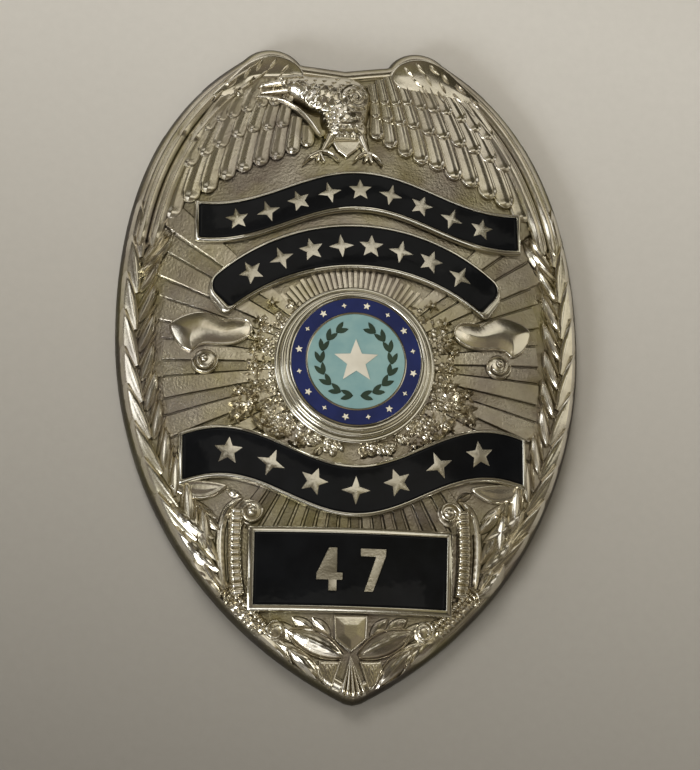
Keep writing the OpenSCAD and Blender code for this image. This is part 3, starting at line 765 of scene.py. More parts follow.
def eagle_form(x, y):
    heights, depths = capsules(x, y, EAGLE_BODY, 0.3)
    deep = np.max(np.stack(depths), axis=0)
    cover = np.clip((deep - 0.15) / 0.35, 0, 1) * np.clip((x + 6.4) / 1.4, 0.0, 1)
    body = blended(heights, 7.0) - 0.1 + 0.27 * eagle_scales(x, y) * cover
    beak, beak_in = capsules(x, y, BEAK)
    (brow, mouth), _ = capsules(x, y, (BROW, MOUTH))
    eye = np.hypot(x - EYE[0], y - EYE[1])
    swirl = np.hypot(x - SWIRL[0], y - SWIRL[1])
    turns = swirl / 0.75 - np.arctan2(y - SWIRL[1], x - SWIRL[0]) / (2 * np.pi)
    total = blended([body] + beak, 12.0) + 0.34 * brow - 0.9 * mouth
    total = total - 0.28 * np.exp(-((eye / 0.4) ** 4)) + 0.4 * np.exp(-((eye / 0.22) ** 2))
    total = total + 0.08 * np.cos(2 * np.pi * turns) * np.clip((2.0 - swirl) / 0.3, 0, 1)
    return total, np.max(np.stack([deep] + beak_in), axis=0)


CLAWS = (((-5.45, 23.0), (-4.4, 24.2), (-3.05, 24.85), (-2.0, 24.5), (-1.2, 23.55)),
         ((0.35, 23.4), (1.1, 24.35), (2.0, 24.75), (3.0, 24.3), (3.75, 23.2)))
CREST_SHIELD = ((-2.2, 26.3), (1.7, 26.4), (0.9, 25.0), (-0.35, 24.0), (-1.5, 24.9))


def eagle_body(metal):
    relief = Relief()
    height_patch(relief, (-11.2, 25.2), (3.6, 35.3), 0.05, eagle_form, 0.45)
    t = np.linspace(0, 1, 16)
    for hip, ankle in (((-1.9, 27.2), (-3.05, 24.9)), ((1.2, 27.2), (2.0, 24.8))):
        ridge(relief, bowed(hip, ankle, 0, t), 0.85 * (1 - 0.5 * t), 0.1, 1.1 - 0.4 * t, arch(13, 2.0),
              shade=(0.0, 1.0))
    for places in CLAWS:
        path = smooth_line(places, 40)
        strand(relief, path, 0.36, 0.3, 0.35, 0.1, 0.75, shade=(0.0, 1.0), least=0.15)
        middle = (path[0] + path[-1]) / 2
        for end in (middle + [-0.45, 0.2], middle + [0.5, 0.15]):
            strand(relief, np.linspace(path[20], end, 14), 0.3, 0.1, 0.4, 0.1, 0.6)
    patch_shape(relief, CREST_SHIELD, 0.1, ((0.0, 0.15), (0.12, 0.5), (0.3, 0.6), (2.0, 0.62)), corners=True)
    return relief.made("eagle_body", metal, smooth=60)


def shoulder_line(metal):
    """The raised line that bounds the inner part of the left wing under the head."""
    relief = Relief()
    path = smooth_line([(-10.6, 31.4), (-9.0, 31.35), (-7.5, 30.95), (-6.5, 30.4), (-5.3, 29.4),
                        (-4.2, 28.0), (-3.25, 26.4)], 60)
    strand(relief, path, 0.27, 0.08, 0.12, 0.9, 0.6)
    return relief.made("shoulder_line", metal, smooth=40)


# Ribbon tails


TAIL = ((20.3, 4.4), (19.2, 5.25), (17.5, 5.75), (16.3, 5.7), (15.35, 5.2), (14.3, 4.7), (13.0, 4.8),
        (11.75, 4.55), (11.2, 3.6), (11.75, 2.5), (13.05, 1.85), (14.7, 1.7), (16.3, 1.85), (17.3, 1.5),
        (18.0, 1.0), (19.1, 1.6), (19.9, 2.8))
TAIL_LIP = ((14.4, 4.58), (13.0, 4.66), (11.85, 4.42), (11.35, 3.6), (11.85, 2.62), (13.1, 2.0),
            (14.7, 1.86), (16.3, 2.0), (17.3, 1.7))
CURL = np.array([16.45, 0.05])


def ribbon_tail(name, sign, metal):
    relief = Relief()
    flip = np.array([sign, 1.0])
    section = (11, 2.2)
    patch_shape(relief, TAIL * flip, 0.09, crown(0.72, 0.32, 2.1))
    strand(relief, smooth_line(TAIL_LIP * flip, 90), 0.17, 0.2, 0.12, 0.7, 0.36, section, (0.2, 1.0))
    bead(relief, CURL * flip, 1.5, 0.05, flat=0.42, rows=12, cols=44)
    bead(relief, (CURL + [0.1, 0.25]) * flip, 0.5, 0.6, flat=0.9, rows=8, cols=24)
    for r, first, last, half, base in ((0.85, -185, 25, 0.24, 0.65), (1.35, -200, 10, 0.22, 0.35)):
        strand(relief, arc(CURL, r, first, last, 50) * flip, half, 0.2, 0.3, base, 0.55, section, (0.1, 1.0))
    return relief.made(name, metal)


# Scrolls and foliage, mirrored about the foot


FOOT_X = -0.45
VOLUTE = (11.0, -17.0)
LOW_VOLUTE = (8.2, -30.0)
# The folded end that shows under the lower ribbon, and the leaves that grow from the scroll
FOLD = ((19.9, -13.8), (18.7, -15.0), (16.4, -15.6), (14.4, -15.0), (13.5, -14.0), (15.0, -13.5),
        (17.6, -13.3))
# Leaves: root, tip, width, height, bow
SCROLL_LEAVES = (
    ((19.6, -15.9), (14.9, -19.8), 2.5, 0.95, 0.5), ((18.3, -19.0), (14.5, -23.2), 2.3, 0.9, 0.5),
    ((17.2, -22.2), (14.0, -26.0), 2.1, 0.95, 0.4), ((17.4, -15.4), (14.6, -17.6), 1.3, 0.6, 0.2),
    ((19.9, -17.6), (17.6, -20.6), 1.3, 0.7, 0.0), ((14.5, -22.3), (16.9, -17.6), 1.7, 0.75, -0.2),
    ((14.3, -19.0), (17.0, -15.5), 1.5, 0.7, -0.2), ((13.6, -14.5), (11.9, -15.4), 1.0, 0.6, 0.0),
    ((14.2, -25.6), (16.4, -21.4), 1.5, 0.7, -0.2))
FOOT_LEAVES = (((6.7, -33.4), (10.4, -29.9), 1.9, 0.62, 0.1), ((5.2, -31.2), (8.4, -28.9), 1.7, 0.5, 0.0),
               ((3.9, -30.0), (6.4, -28.5), 1.5, 0.45, 0.0), ((2.2, -30.6), (4.2, -28.5), 1.5, 0.45, 0.0),
               ((4.6, -33.0), (8.6, -31.0), 1.6, 0.5, 0.0))
RIMMED_LEAVES = (((3.0, -36.2), (6.9, -31.7), 2.1, 0.75, 0.12), ((0.9, -32.7), (6.9, -30.0), 2.7, 0.9, 0.1))
KITE = ((0.95, -33.2), (3.5, -33.15), (3.65, -34.6), (2.5, -36.3), (2.0, -36.3))
KEYSTONE = ((-1.9, -28.3), (1.9, -28.3), (1.77, -30.95), (0.0, -32.4), (-1.77, -30.95))


def about_foot(places, sign):
    return np.multiply(places, [sign, 1.0]) + [FOOT_X, 0.0]


def foot_leaves(relief, leaves, sign, rows, cols):
    for root, tip, width, height, bow in leaves:
        leaf(relief, about_foot(root, sign), about_foot(tip, sign), width, height, bow * sign,
             rows=rows, cols=cols)


def spiral(relief, middle, r, turns, width, height, start, sign):
    """A wound ridge, like a rolled end."""
    t = np.linspace(0, 1, int(36 * turns))
    path = middle + (r * (1 - 0.65 * t))[:, None] * toward(start + sign * t * turns * 2 * np.pi)
    ridge(relief, path, width * (1 - 0.35 * t), 0.0, height * (0.8 + 0.2 * t), arch(11, 2.2),
          shade=(0.0, 1.0))


def side_scroll(name, sign, metal):
    relief = Relief()
    t = np.linspace(0, 1, 190)
    column = about_foot(bezier((12.5, -16.6), (12.8, -20.0), (12.75, -23.0), (12.3, -26.2), t), sign)
    ribs = 0.5 + 0.5 * np.abs(np.sin(np.pi * t * 13)) ** 0.8
    ridge(relief, column, 0.85, 0.1, ribs, arch(17, 4.5), shade=(0.0, 1.0))
    band = about_foot(bezier((11.8, -15.5), (14.7, -16.2), (14.6, -21.0), (13.7, -25.9), t), sign)
    strand(relief, band, 0.55, 0.2, 0.25, 0.0, 0.6, (13, 2.2, 0.15, 0.2), (0.0, 0.7))
    bead(relief, about_foot(VOLUTE, sign), 1.45, 0.05, flat=0.4, rows=11, cols=40)
    spiral(relief, about_foot(VOLUTE, sign), 1.25, 1.2, 0.34, 1.15, 0.2, sign)
    bead(relief, about_foot((10.9, -17.0), sign), 0.62, 0.75, flat=0.9, rows=8, cols=24)
    # Beaded leafy edge that runs from the column to the lower volute
    for i in range(11):
        root = np.array([13.4 - 0.42 * i, -25.6 - 0.42 * i])
        for turn in (20, 75, -30):
            tip = root + 1.3 * toward(math.radians(turn + rng.uniform(-8, 8)))
            foot_leaves(relief, ((root, tip, 0.7, 0.75, 0.0),), sign, 8, 9)
        bead(relief, about_foot(root + [-0.5, -0.3], sign), 0.28, 0.5, rows=5, cols=12)
    bead(relief, about_foot(LOW_VOLUTE, sign), 1.25, 0.1, flat=0.45, rows=9, cols=32)
    spiral(relief, about_foot(LOW_VOLUTE, sign), 1.05, 1.3, 0.3, 1.0, 1.4, -sign)
    patch_shape(relief, about_foot(FOLD, sign), 0.1,
                ((0.0, 0.05), (0.1, 0.5), (0.25, 0.62), (0.6, 0.6), (2.0, 0.7)))
    foot_leaves(relief, SCROLL_LEAVES, sign, 26, 23)
    for r in (1.6, 1.1, 0.6):
        strand(relief, about_foot(arc(np.array([12.75, -26.6]), -r, 165, 262, 30), sign), 0.2, 0.2, 0.2,
               0.1, 0.75, shade=(0.0, 1.0))
    return relief.made(name, metal)


def plate(relief, points, level, lip, bulge, detail=None):
    """A flat cast form with a soft crown, and a fine raised line round it."""
    patch_shape(relief, points, 0.09, ((0.0, 0.2), (0.1, level - 0.1), (0.24, level), (1.1, level + bulge)),
                corners=True, detail=detail)
    loop = resampled(points, 160, True)
    loop = loop + inward_normals(loop) * 0.14
    ridge(relief, np.vstack([loop, loop[:1]]), 0.12, level - 0.2, lip + 0.2, arch(7, 2.0), shade=(0.2, 1.0))


def rimmed_leaf(relief, root, tip, width, height, bow):
    """A smooth lens-shaped leaf inside a fine raised line."""
    leaf(relief, root, tip, width, height, bow, rows=30, cols=25, vein=0.015)
    t = np.linspace(0, 1, 40)
    side = left_of(tip - root) / length_of(tip - root)
    for way in (1, -1):
        path = bowed(root, tip, bow, t) + side * (way * leaf_half(width, t))[:, None]
        strand(relief, path, 0.13, 0.1, 0.1, 0.1, 0.5, (7, 2.0), (0.2, 1.0))


def stippled(x, y, depth):
    waves = np.sin(x * 21 + 2 * np.sin(y * 9)) * np.sin(y * 19 + np.sin(x * 8))
    return 0.035 * waves * np.clip(depth * 3, 0, 1)


def foot_foliage(metal):
    relief = Relief()
    for sign in (1, -1):
        foot_leaves(relief, FOOT_LEAVES, sign, 20, 17)
        for root, tip, width, height, bow in RIMMED_LEAVES:
            rimmed_leaf(relief, about_foot(root, sign), about_foot(tip, sign), width, height, bow * sign)
        plate(relief, about_foot(KITE, sign), 0.5, 0.1, 0.05, stippled)
    plate(relief, about_foot(KEYSTONE, 1), 0.62, 0.06, 0.06)
    # The fan
    t = np.linspace(0, 1, 24)
    for k in range(-2, 3):
        reach = 4.35 * toward(math.radians(-90 + k * 8.5)) + [0.35, 0]
        path = [FOOT_X, -32.7] + t[:, None] * reach
        ridge(relief, path, 0.08 + 0.32 * t, 0.05, 0.55 + 0.4 * t, arch(13, 2.4), shade=(0.0, 1.0))
    return relief.made("foot_foliage", metal)


# Garland round the bezel


# Place, heading in degrees, length and width of its larger leaves. Place and size of its clusters
GARLAND_LEAVES = ((12.9, -3.0, 205, 2.6, 1.2), (13.9, -4.9, 185, 2.4, 1.15), (13.0, -6.8, 140, 2.6, 1.2),
                  (11.8, -3.3, 255, 2.4, 1.1), (11.4, -6.2, 235, 2.4, 1.1), (12.6, -5.0, 300, 2.2, 1.1),
                  (10.2, -8.2, 200, 2.0, 1.0))
CLUSTERS = ((11.6, -5.0, 1.05), (10.2, -7.0, 0.95), (12.9, -6.2, 0.85), (12.7, -3.6, 0.8), (10.9, -2.6, 0.8),
            (10.9, -0.6, 0.75), (11.1, 1.2, 0.65), (10.9, 2.7, 0.7), (10.3, 4.6, 0.65), (9.0, 6.6, 0.6),
            (8.6, -8.6, 0.8), (6.6, -9.6, 0.7))


def cluster(relief, at, r, height):
    """A few small leaves round a berry."""
    start = rng.uniform(0, 72)
    for k in range(5):
        way = r * toward(math.radians(start + 72 * k + rng.uniform(-12, 12)))
        leaf(relief, at + 0.1 * way, at + 1.35 * way, 0.75 * r, height * rng.uniform(0.7, 0.95), base=0.1,
             rows=9, cols=9, low=0.4)
    bead(relief, at, r * 0.33, height * 0.75, rows=5, cols=12)


def garland_bit(relief, at, degrees, flip):
    """A small leaf or a berry."""
    if rng.uniform() < 0.5:
        heading = math.radians(degrees + rng.choice((-60, 20, 75, 130)) + rng.uniform(-15, 15))
        leaf(relief, at * flip, (at + 1.4 * toward(heading)) * flip, 0.8, rng.uniform(0.4, 0.62),
             rows=8, cols=9, low=0.35)
    else:
        bead(relief, at * flip, rng.uniform(0.32, 0.5), rng.uniform(0.05, 0.2), flat=0.6, rows=5, cols=12)


def seal_wreath(metal):
    """Berries, petals and small leaves in a dense garland round the sides and the lower part of the bezel."""
    relief = Relief()
    for side in (1, -1):
        flip = np.array([side, 1])
        for k in range(48):
            degrees = 44 - k * 2.7
            for r in np.arange(9.3, 11.5 if -50 < degrees < 30 else 10.5, 0.62):
                at = polar(r + rng.uniform(-0.2, 0.2), degrees + rng.uniform(-1.5, 1.5))
                garland_bit(relief, at, degrees, flip)
        for x, y, turn, length, width in GARLAND_LEAVES:
            tip = [x, y] + length * toward(math.radians(turn))
            leaf(relief, [x, y] * flip, tip * flip, width, 1.1, base=0.1, rows=14, cols=13, low=0.35)
        for x, y, r in CLUSTERS:
            cluster(relief, [x, y] * flip, r, 0.9)
    return relief.made("seal_wreath", metal)


# Ribbons and number panel


def edge(row, which, t, inset):
    """Edge of a ribbon: which is -1 for the lower edge, t from -1 to 1, inset moves ends and edge in."""
    t = np.asarray(t, float)
    kind, x0, ends, rise, period, half, width, turn_deg = row
    if kind == "wave":
        x = t * (half - inset)
        level = ends + rise * (1 + np.cos(np.pi * x / period)) / 2
        across = np.stack([x, np.full_like(x, which * (width / 2 - inset))], axis=-1)
        return turned(across, math.radians(turn_deg)) + np.stack([np.full_like(x, x0), level], axis=-1)
    reach, top, r = (width, ends - inset, period) if which > 0 else (MIDDLE_INNER_HALF, rise + inset, half)
    x = t * (reach - inset * 1.2)
    return np.stack([x0 + x, top - r + np.sqrt(r * r - x * x)], axis=-1)


def middle_line(row, t):
    return (edge(row, -1, t, 0) + edge(row, 1, t, 0)) / 2


def rounded_end(line, other, r):
    """line ends in a corner whose next corner is other: the same line with that corner rounded."""
    corner = line[-1]
    keep = line[np.linalg.norm(line - corner, axis=1) > r]
    across = (other - corner) / length_of(other - corner)
    start = corner + (keep[-1] - corner) / length_of(keep[-1] - corner) * r
    return np.vstack([keep, bezier(start, start + (corner - start) * 0.55, corner + across * r * 0.45,
                                   corner + across * r, np.linspace(0, 1, 14))])


def ribbon_loop(row, inset):
    t = np.linspace(-1, 1, 260)
    low, high = edge(row, -1, t, inset), edge(row, 1, t, inset)
    corners = (0.25, 0.25) if row[0] == "wave" else (0.9, 2.0)
    rows = []
    for line, other, radius in zip((low, high), (high, low), corners):
        r = max(0.06, radius - inset)
        rounded = rounded_end(line, other[-1], r)
        rows.append(resampled(rounded_end(rounded[::-1], other[0], r)[::-1], 210))
    return np.vstack([rows[0], rows[1][::-1]])


def number_loop(inset):
    x, y = NUMBER_W / 2 - inset, NUMBER_D / 2 - inset
    sides = np.vstack([np.linspace([-x, -y], [x, -y], 60), np.linspace([x, y], [-x, y], 60)])
    return NUMBER_AT + turned(sides, NUMBER_TURN)


# Inset, height and shade of a tray's edge, from outside to inside; the low shades at its foot and inner wall
# are painted shade and olive patina in the metal
TRAY = ((0.03, 0.16, 0.1), (0.0, 0.3, 0.2), (0.0, 0.68, 0.6), (0.015, 0.82, 0.9), (0.06, 0.95, 1.0),
        (0.13, 1.06, 1.0), (0.22, 1.15, 1.0), (0.32, 1.2, 1.0), (0.4, 1.19, 1.0), (0.46, 1.13, 0.9),
        (0.5, 1.0, 0.5), (0.5, TRAY_H, 0.0))
# The enamel in it, with the shallow hollow that fired enamel has beside its edges
FILL = ((0.0, TRAY_H + 0.05), (0.0, ENAMEL_H - 0.04), (0.05, ENAMEL_H - 0.012), (0.18, ENAMEL_H - 0.03))


def tray(relief, loop, wider=0.0):
    insets = [inset + wider * min(1, max(0, inset - 0.1) / 0.2) for inset, _, _ in TRAY]
    relief.loops([on_dome(loop(inset), height) for inset, (_, height, _) in zip(insets, TRAY)],
                 [tone for _, _, tone in TRAY])


def enamel_fill(name, loop, enamel, inset=EDGE_W + SEAM):
    relief = Relief()
    relief.loops([on_dome(loop(inset + extra), height) for extra, height in FILL], 1.0)
    return relief.made(name, enamel)


def star_ring(p, r, points, waist, turn_deg):
    """Corners of a star whose first arm points up before it is turned."""
    k = np.arange(points * 2)
    radius = np.where(k % 2 == 0, r, r * waist)
    return p + radius[:, None] * toward(math.radians(90 + turn_deg) + k * np.pi / points)


def ribbon(node, row, count, size, metal):
    """The tray, and faceted stars of five and of four points in turn."""
    relief = Relief()
    tray(relief, lambda inset: ribbon_loop(row, inset))
    low, high = TRAY_H - 0.1, PANEL_H
    for i in range(count):
        t = (2 * (i + 0.5) / count - 1) * 0.84
        p = middle_line(row, t)
        lean = math.degrees(math.atan2(*(p - middle_line(row, t - 0.02))[::-1]))
        ring = star_ring(p, size, *((4, 0.36) if i % 2 else (5, 0.45)), lean)
        relief.skin([on_dome(ring, low), on_dome(ring, high - 0.12)], on_dome(p, low), on_dome(p, high),
                    0.4, 0.4)
    return relief.made(node + "_tray", metal, smooth=35)


FOUR = ((0.35, -1), (0.35, -0.5), (0.62, -0.5), (0.62, -0.15), (0.35, -0.15), (0.35, 1), (-0.05, 1),
        (-0.62, -0.2), (-0.62, -0.5), (-0.05, -0.5), (-0.05, -1))
SEVEN = ((-0.6, 1), (-0.6, 0.62), (0.12, 0.62), (-0.42, -1), (0.02, -1), (0.6, 0.66), (0.6, 1))


def number_panel(metal):
    relief = Relief()
    tray(relief, number_loop, FRAME_EXTRA)
    for shape, x in ((FOUR, -2.4), (SEVEN, 2.4)):
        outline = NUMBER_AT + turned(np.array(shape) * DIGIT_H / 2 + [x, 0], NUMBER_TURN)
        inward = inward_normals(outline)
        relief.loops([on_dome(outline + inward * inset, height)
                      for inset, height in ((0.0, 0.45), (0.0, 1.14), (0.05, 1.2))], (0.2, 0.3, 0.3), False)
    return relief.made("number_tray", metal, smooth=35)


# Seal


def lathe(relief, profile, steps=160, shades=1.0):
    """A closed ring turned round the seal's middle from an (r, z) outline."""
    profile = np.asarray(profile, float)
    places = SEAL + profile[None, :, :1] * circle(steps)[:, None]
    levels = np.broadcast_to(profile[None, :, 1:], (*places.shape[:2], 1))
    relief.quads.append(net(relief.take(np.concatenate([places, levels], axis=-1), shades),
                            steps, len(profile), closed=True))


def seal_bezel(metal):
    relief = Relief()
    inner = SEAL_R + 0.04
    parts = ([(inner, SEAL_FLOOR), (BEZEL_R, SEAL_FLOOR), (BEZEL_R, 6.3)],
             arc(np.array([BEZEL_R - 0.26, 6.32]), 0.26, 0, 150, 7),
             [(BEZEL_R - 0.55, 6.38), (BEZEL_R - 0.6, 6.5)],
             arc(np.array([BEZEL_R - 0.84, 6.85]), 0.24, -10, 140, 7),
             [(BEZEL_R - 1.08, 7.0), (BEZEL_R - 1.12, 7.3)],
             arc(np.array([inner + 0.22, 7.78]), 0.22, -5, 160, 7),
             [(inner, 7.8)])
    lathe(relief, np.vstack(parts), shades=0.7)
    return relief.made("bezel_ring", metal, smooth=32)


def disc(relief, r, low, high, rise=0.0):
    """A round slab whose middle is higher by rise."""
    rings = [at_level(SEAL + r * share * circle(128), z)
             for share, z in ((1.0, low), (1.0, high), (0.75, high + rise * 0.4), (0.4, high + rise * 0.85))]
    relief.skin(rings, (*SEAL, low), (*SEAL, high + rise), 1.0)


def level_star(relief, p, r, points, waist, turn_deg, low, high, peak):
    ring = star_ring(p, r, points, waist, turn_deg)
    relief.skin([at_level(ring, low), at_level(ring, high)], (*p, low), (*p, peak), 1.0, 1.0)


def seal_disc(metal):
    relief = Relief()
    disc(relief, SEAL_R, SEAL_FLOOR, SEAL_BED)
    low = SEAL_BED - 0.1
    for r0, r1 in ((SEAL_R - 0.16, SEAL_R), (LINE_R - 0.09, LINE_R + 0.09)):
        lathe(relief, [(r0, low), (r1, low), (r1, SEAL_TOP - 0.04), ((r0 + r1) / 2, SEAL_TOP),
                       (r0, SEAL_TOP - 0.04)])
    for i in range(16):
        degrees = (i + 0.5) * 22.5
        level_star(relief, polar((LINE_R + SEAL_R) / 2, degrees), *((0.42, 5) if i % 2 else (0.3, 4)), 0.5,
                   degrees - 90, low, SEAL_TOP - 0.02, SEAL_TOP + 0.02)
    return relief.made("seal_lines", metal, smooth=35)


def flat_leaf(relief, root, tip, width, top, rows=9):
    """A small smooth leaf of enamel."""
    t = np.linspace(0, 1, rows)
    path = bowed(root, tip, 0, t)
    reach = left_of(tip - root) / length_of(tip - root) * width / 2
    half = reach * np.maximum(0.04, np.sin(np.pi * t) ** 0.8)[:, None]
    rings = np.stack([at_level(path + half * way, top + z) for way, z in
                      ((-1, -0.2), (-1, -0.005), (0, 0.03), (1, -0.005), (1, -0.2))], axis=1)
    relief.skin(rings, (*path[0], top - 0.05), (*path[-1], top - 0.05), 1.0)


def seal_enamels(blue, pale, green, ivory):
    top, low = SEAL_TOP - SEAL_SINK, SEAL_BED + 0.04
    ring, field, wreath, star = Relief(), Relief(), Relief(), Relief()
    inner, outer = LINE_R + 0.12, SEAL_R - 0.2
    lathe(ring, [(inner, low), (outer, low), (outer, top - 0.01), (SEAL_R - 0.45, top - 0.03),
                 (LINE_R + 0.35, top - 0.03), (inner, top - 0.01)])
    disc(field, LINE_R - 0.12, low, top - 0.02, rise=-0.02)
    for side in (1, -1):
        for k in range(8):
            degrees = -84 + k * 20
            at = 3.95 * toward(math.radians(degrees))
            for turn in (18, -22):
                tip = at + 1.45 * toward(math.radians(degrees + 90 + turn))
                flat_leaf(wreath, SEAL + at * [side, 1], SEAL + tip * [side, 1], 0.56, top)
    level_star(star, SEAL, 2.55, 5, 0.42, 0.0, low, top + 0.02, top + 0.12)
    return (ring.made("ring_fill", blue, 40), field.made("field_fill", pale, 40),
            wreath.made("wreath_fill", green, 40), star.made("star_fill", ivory, 25))


# Materials


def put(tree, socket, value):
    """Links a socket to another node's output, or sets it to a value or a colour."""
    if isinstance(value, bpy.types.NodeSocket):
        tree.links.new(value, socket)
    elif isinstance(value, tuple) and socket.type == "RGBA":
        socket.default_value = (*value, 1.0)
    else:
        socket.default_value = value


def node_with(tree, kind, values, operation=None):
    """A new node with its inputs, by name or number, set or linked."""
    node = tree.nodes.new("ShaderNode" + kind)
    if operation:
        node.operation = operation
    for key, value in values.items():
        put(tree, node.inputs[key], value)
    return node


def new_material(name):
    material = bpy.data.materials.new(name)
    material.use_nodes = True
    tree = material.node_tree
    tree.nodes.clear()
    shader = tree.nodes.new("ShaderNodeBsdfPrincipled")
    node_with(tree, "OutputMaterial", {"Surface": shader.outputs["BSDF"]})
    return material, tree, shader


def coords(tree, space="Object"):
    return tree.nodes.new("ShaderNodeTexCoord").outputs[space]


def noise(tree, scale, detail=3.0, rough=0.55, space="Object"):
    return node_with(tree, "TexNoise", {"Scale": scale, "Detail": detail, "Roughness": rough,
                                        "Vector": coords(tree, space)}).outputs["Fac"]


def ramp(tree, source, stops):
    node = node_with(tree, "ValToRGB", {"Fac": source})
    while len(node.color_ramp.elements) < len(stops):
        node.color_ramp.elements.new(0.5)
    for element, (at, color) in zip(node.color_ramp.elements, stops):
        element.position = at
        element.color = (*color, 1.0)
    return node.outputs["Color"]


def mapped(tree, source, low, high, from_low=0.0, from_high=1.0):
    return node_with(tree, "MapRange", {"Value": source, "From Min": from_low, "From Max": from_high,
                                        "To Min": low, "To Max": high}).outputs["Result"]


def math_node(tree, kind, a, b):
    return node_with(tree, "Math", {0: a, 1: b}, kind).outputs["Value"]


def scaled(tree, color, factor):
    return node_with(tree, "VectorMath", {0: color, "Scale": factor}, "SCALE").outputs["Vector"]


def mixed_color(tree, share, a, b):
    node = tree.nodes.new("ShaderNodeMix")
    node.data_type = "RGBA"
    put(tree, node.inputs["Factor"], share)
    for key, value in (("A", a), ("B", b)):
        put(tree, [s for s in node.inputs if s.name == key and s.type == "RGBA"][0], value)
    return [s for s in node.outputs if s.type == "RGBA"][0]


def bumped(tree, shader, height, strength, distance):
    bump = node_with(tree, "Bump", {"Height": height, "Strength": strength, "Distance": distance})
    put(tree, shader.inputs["Normal"], bump.outputs["Normal"])


def plated_metal(name, bright, dull, stained, rough_low, rough_high, stipple):
    """Polished plating, rougher and more olive in the recesses, with broad stains, and darker there by
    painted shade.
    """
    material, tree, shader = new_material(name)
    attribute = tree.nodes.new("ShaderNodeAttribute")
    attribute.attribute_name = "crest"
    crest = attribute.outputs["Fac"]
    patches, stains = noise(tree, 260.0, 4.0), noise(tree, 110.0)
    share = mapped(tree, math_node(tree, "ADD", mapped(tree, crest, 0.0, 1.0, 0.05, 0.85),
                                   mapped(tree, patches, -0.3, 0.3, 0.3, 0.7)), 0.0, 1.0)
    ground = mixed_color(tree, mapped(tree, stains, 0.0, 1.0, 0.38, 0.62), dull, stained)
    shader.inputs["Metallic"].default_value = 1.0
    # Painted shade: the colour is scaled down as far as a fifth where the crest value falls below 0.32, in
    # recesses and on walls
    patina_and_painted_shade = scaled(tree, mixed_color(tree, share, ground, bright), mapped(tree, crest, 0.2, 1.0, 0.0, 0.32))
    put(tree, shader.inputs["Base Color"], patina_and_painted_shade)
    put(tree, shader.inputs["Roughness"], mapped(tree, share, rough_high, rough_low))
    grains, soft = noise(tree, 3600.0, 2.0), noise(tree, 620.0)
    grain = math_node(tree, "MULTIPLY", grains, mapped(tree, crest, stipple, 0.02, 0.3, 0.52))
    lift = math_node(tree, "ADD", grain, mapped(tree, soft, 0.0, 0.10))
    bumped(tree, shader, lift, 0.85, 0.00022)
    return material


def enamel(name, color, other, gloss=0.25):
    """Fired glass enamel with faint waves, specks and fine scratches."""
    material, tree, shader = new_material(name)
    patches, scratches = noise(tree, 320.0, 4.0), noise(tree, 1500.0, 5.0, 0.7)
    put(tree, shader.inputs["Base Color"],
        mixed_color(tree, mapped(tree, patches, 0.0, 1.0, 0.35, 0.65), color, other))
    put(tree, shader.inputs["Roughness"], mapped(tree, scratches, 0.06, 0.11, 0.45, 0.75))
    shader.inputs["IOR"].default_value = 1.4
    shader.inputs["Specular IOR Level"].default_value = gloss
    bumped(tree, shader, noise(tree, 420.0, 2.0), 0.35, 0.00006)
    return material


def floor_material():
    """Pale card with painted shade: it darkens towards its near left corner, where less light falls."""
    material, tree, shader = new_material("pale_card")
    fine = noise(tree, 900.0, 4.0)
    split = node_with(tree, "SeparateXYZ", {"Vector": coords(tree)})
    slant = math_node(tree, "ADD", split.outputs["Y"], math_node(tree, "MULTIPLY", split.outputs["X"], 0.3))
    # Painted shade: the ramp darkens the card towards its near left corner
    tone = ramp(tree, mapped(tree, slant, 0.0, 1.0, -0.055, 0.05),
                ((0.0, (0.232, 0.218, 0.194)), (0.5, (0.442, 0.42, 0.381)), (1.0, (0.655, 0.632, 0.588))))
    put(tree, shader.inputs["Base Color"], scaled(tree, tone, mapped(tree, fine, 0.96, 1.04)))
    shader.inputs["Roughness"].default_value = 0.75
    bumped(tree, shader, fine, 0.15, 0.0002)
    return material


# Pieces


def placed(piece, node):
    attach(piece, "root")
    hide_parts(node)


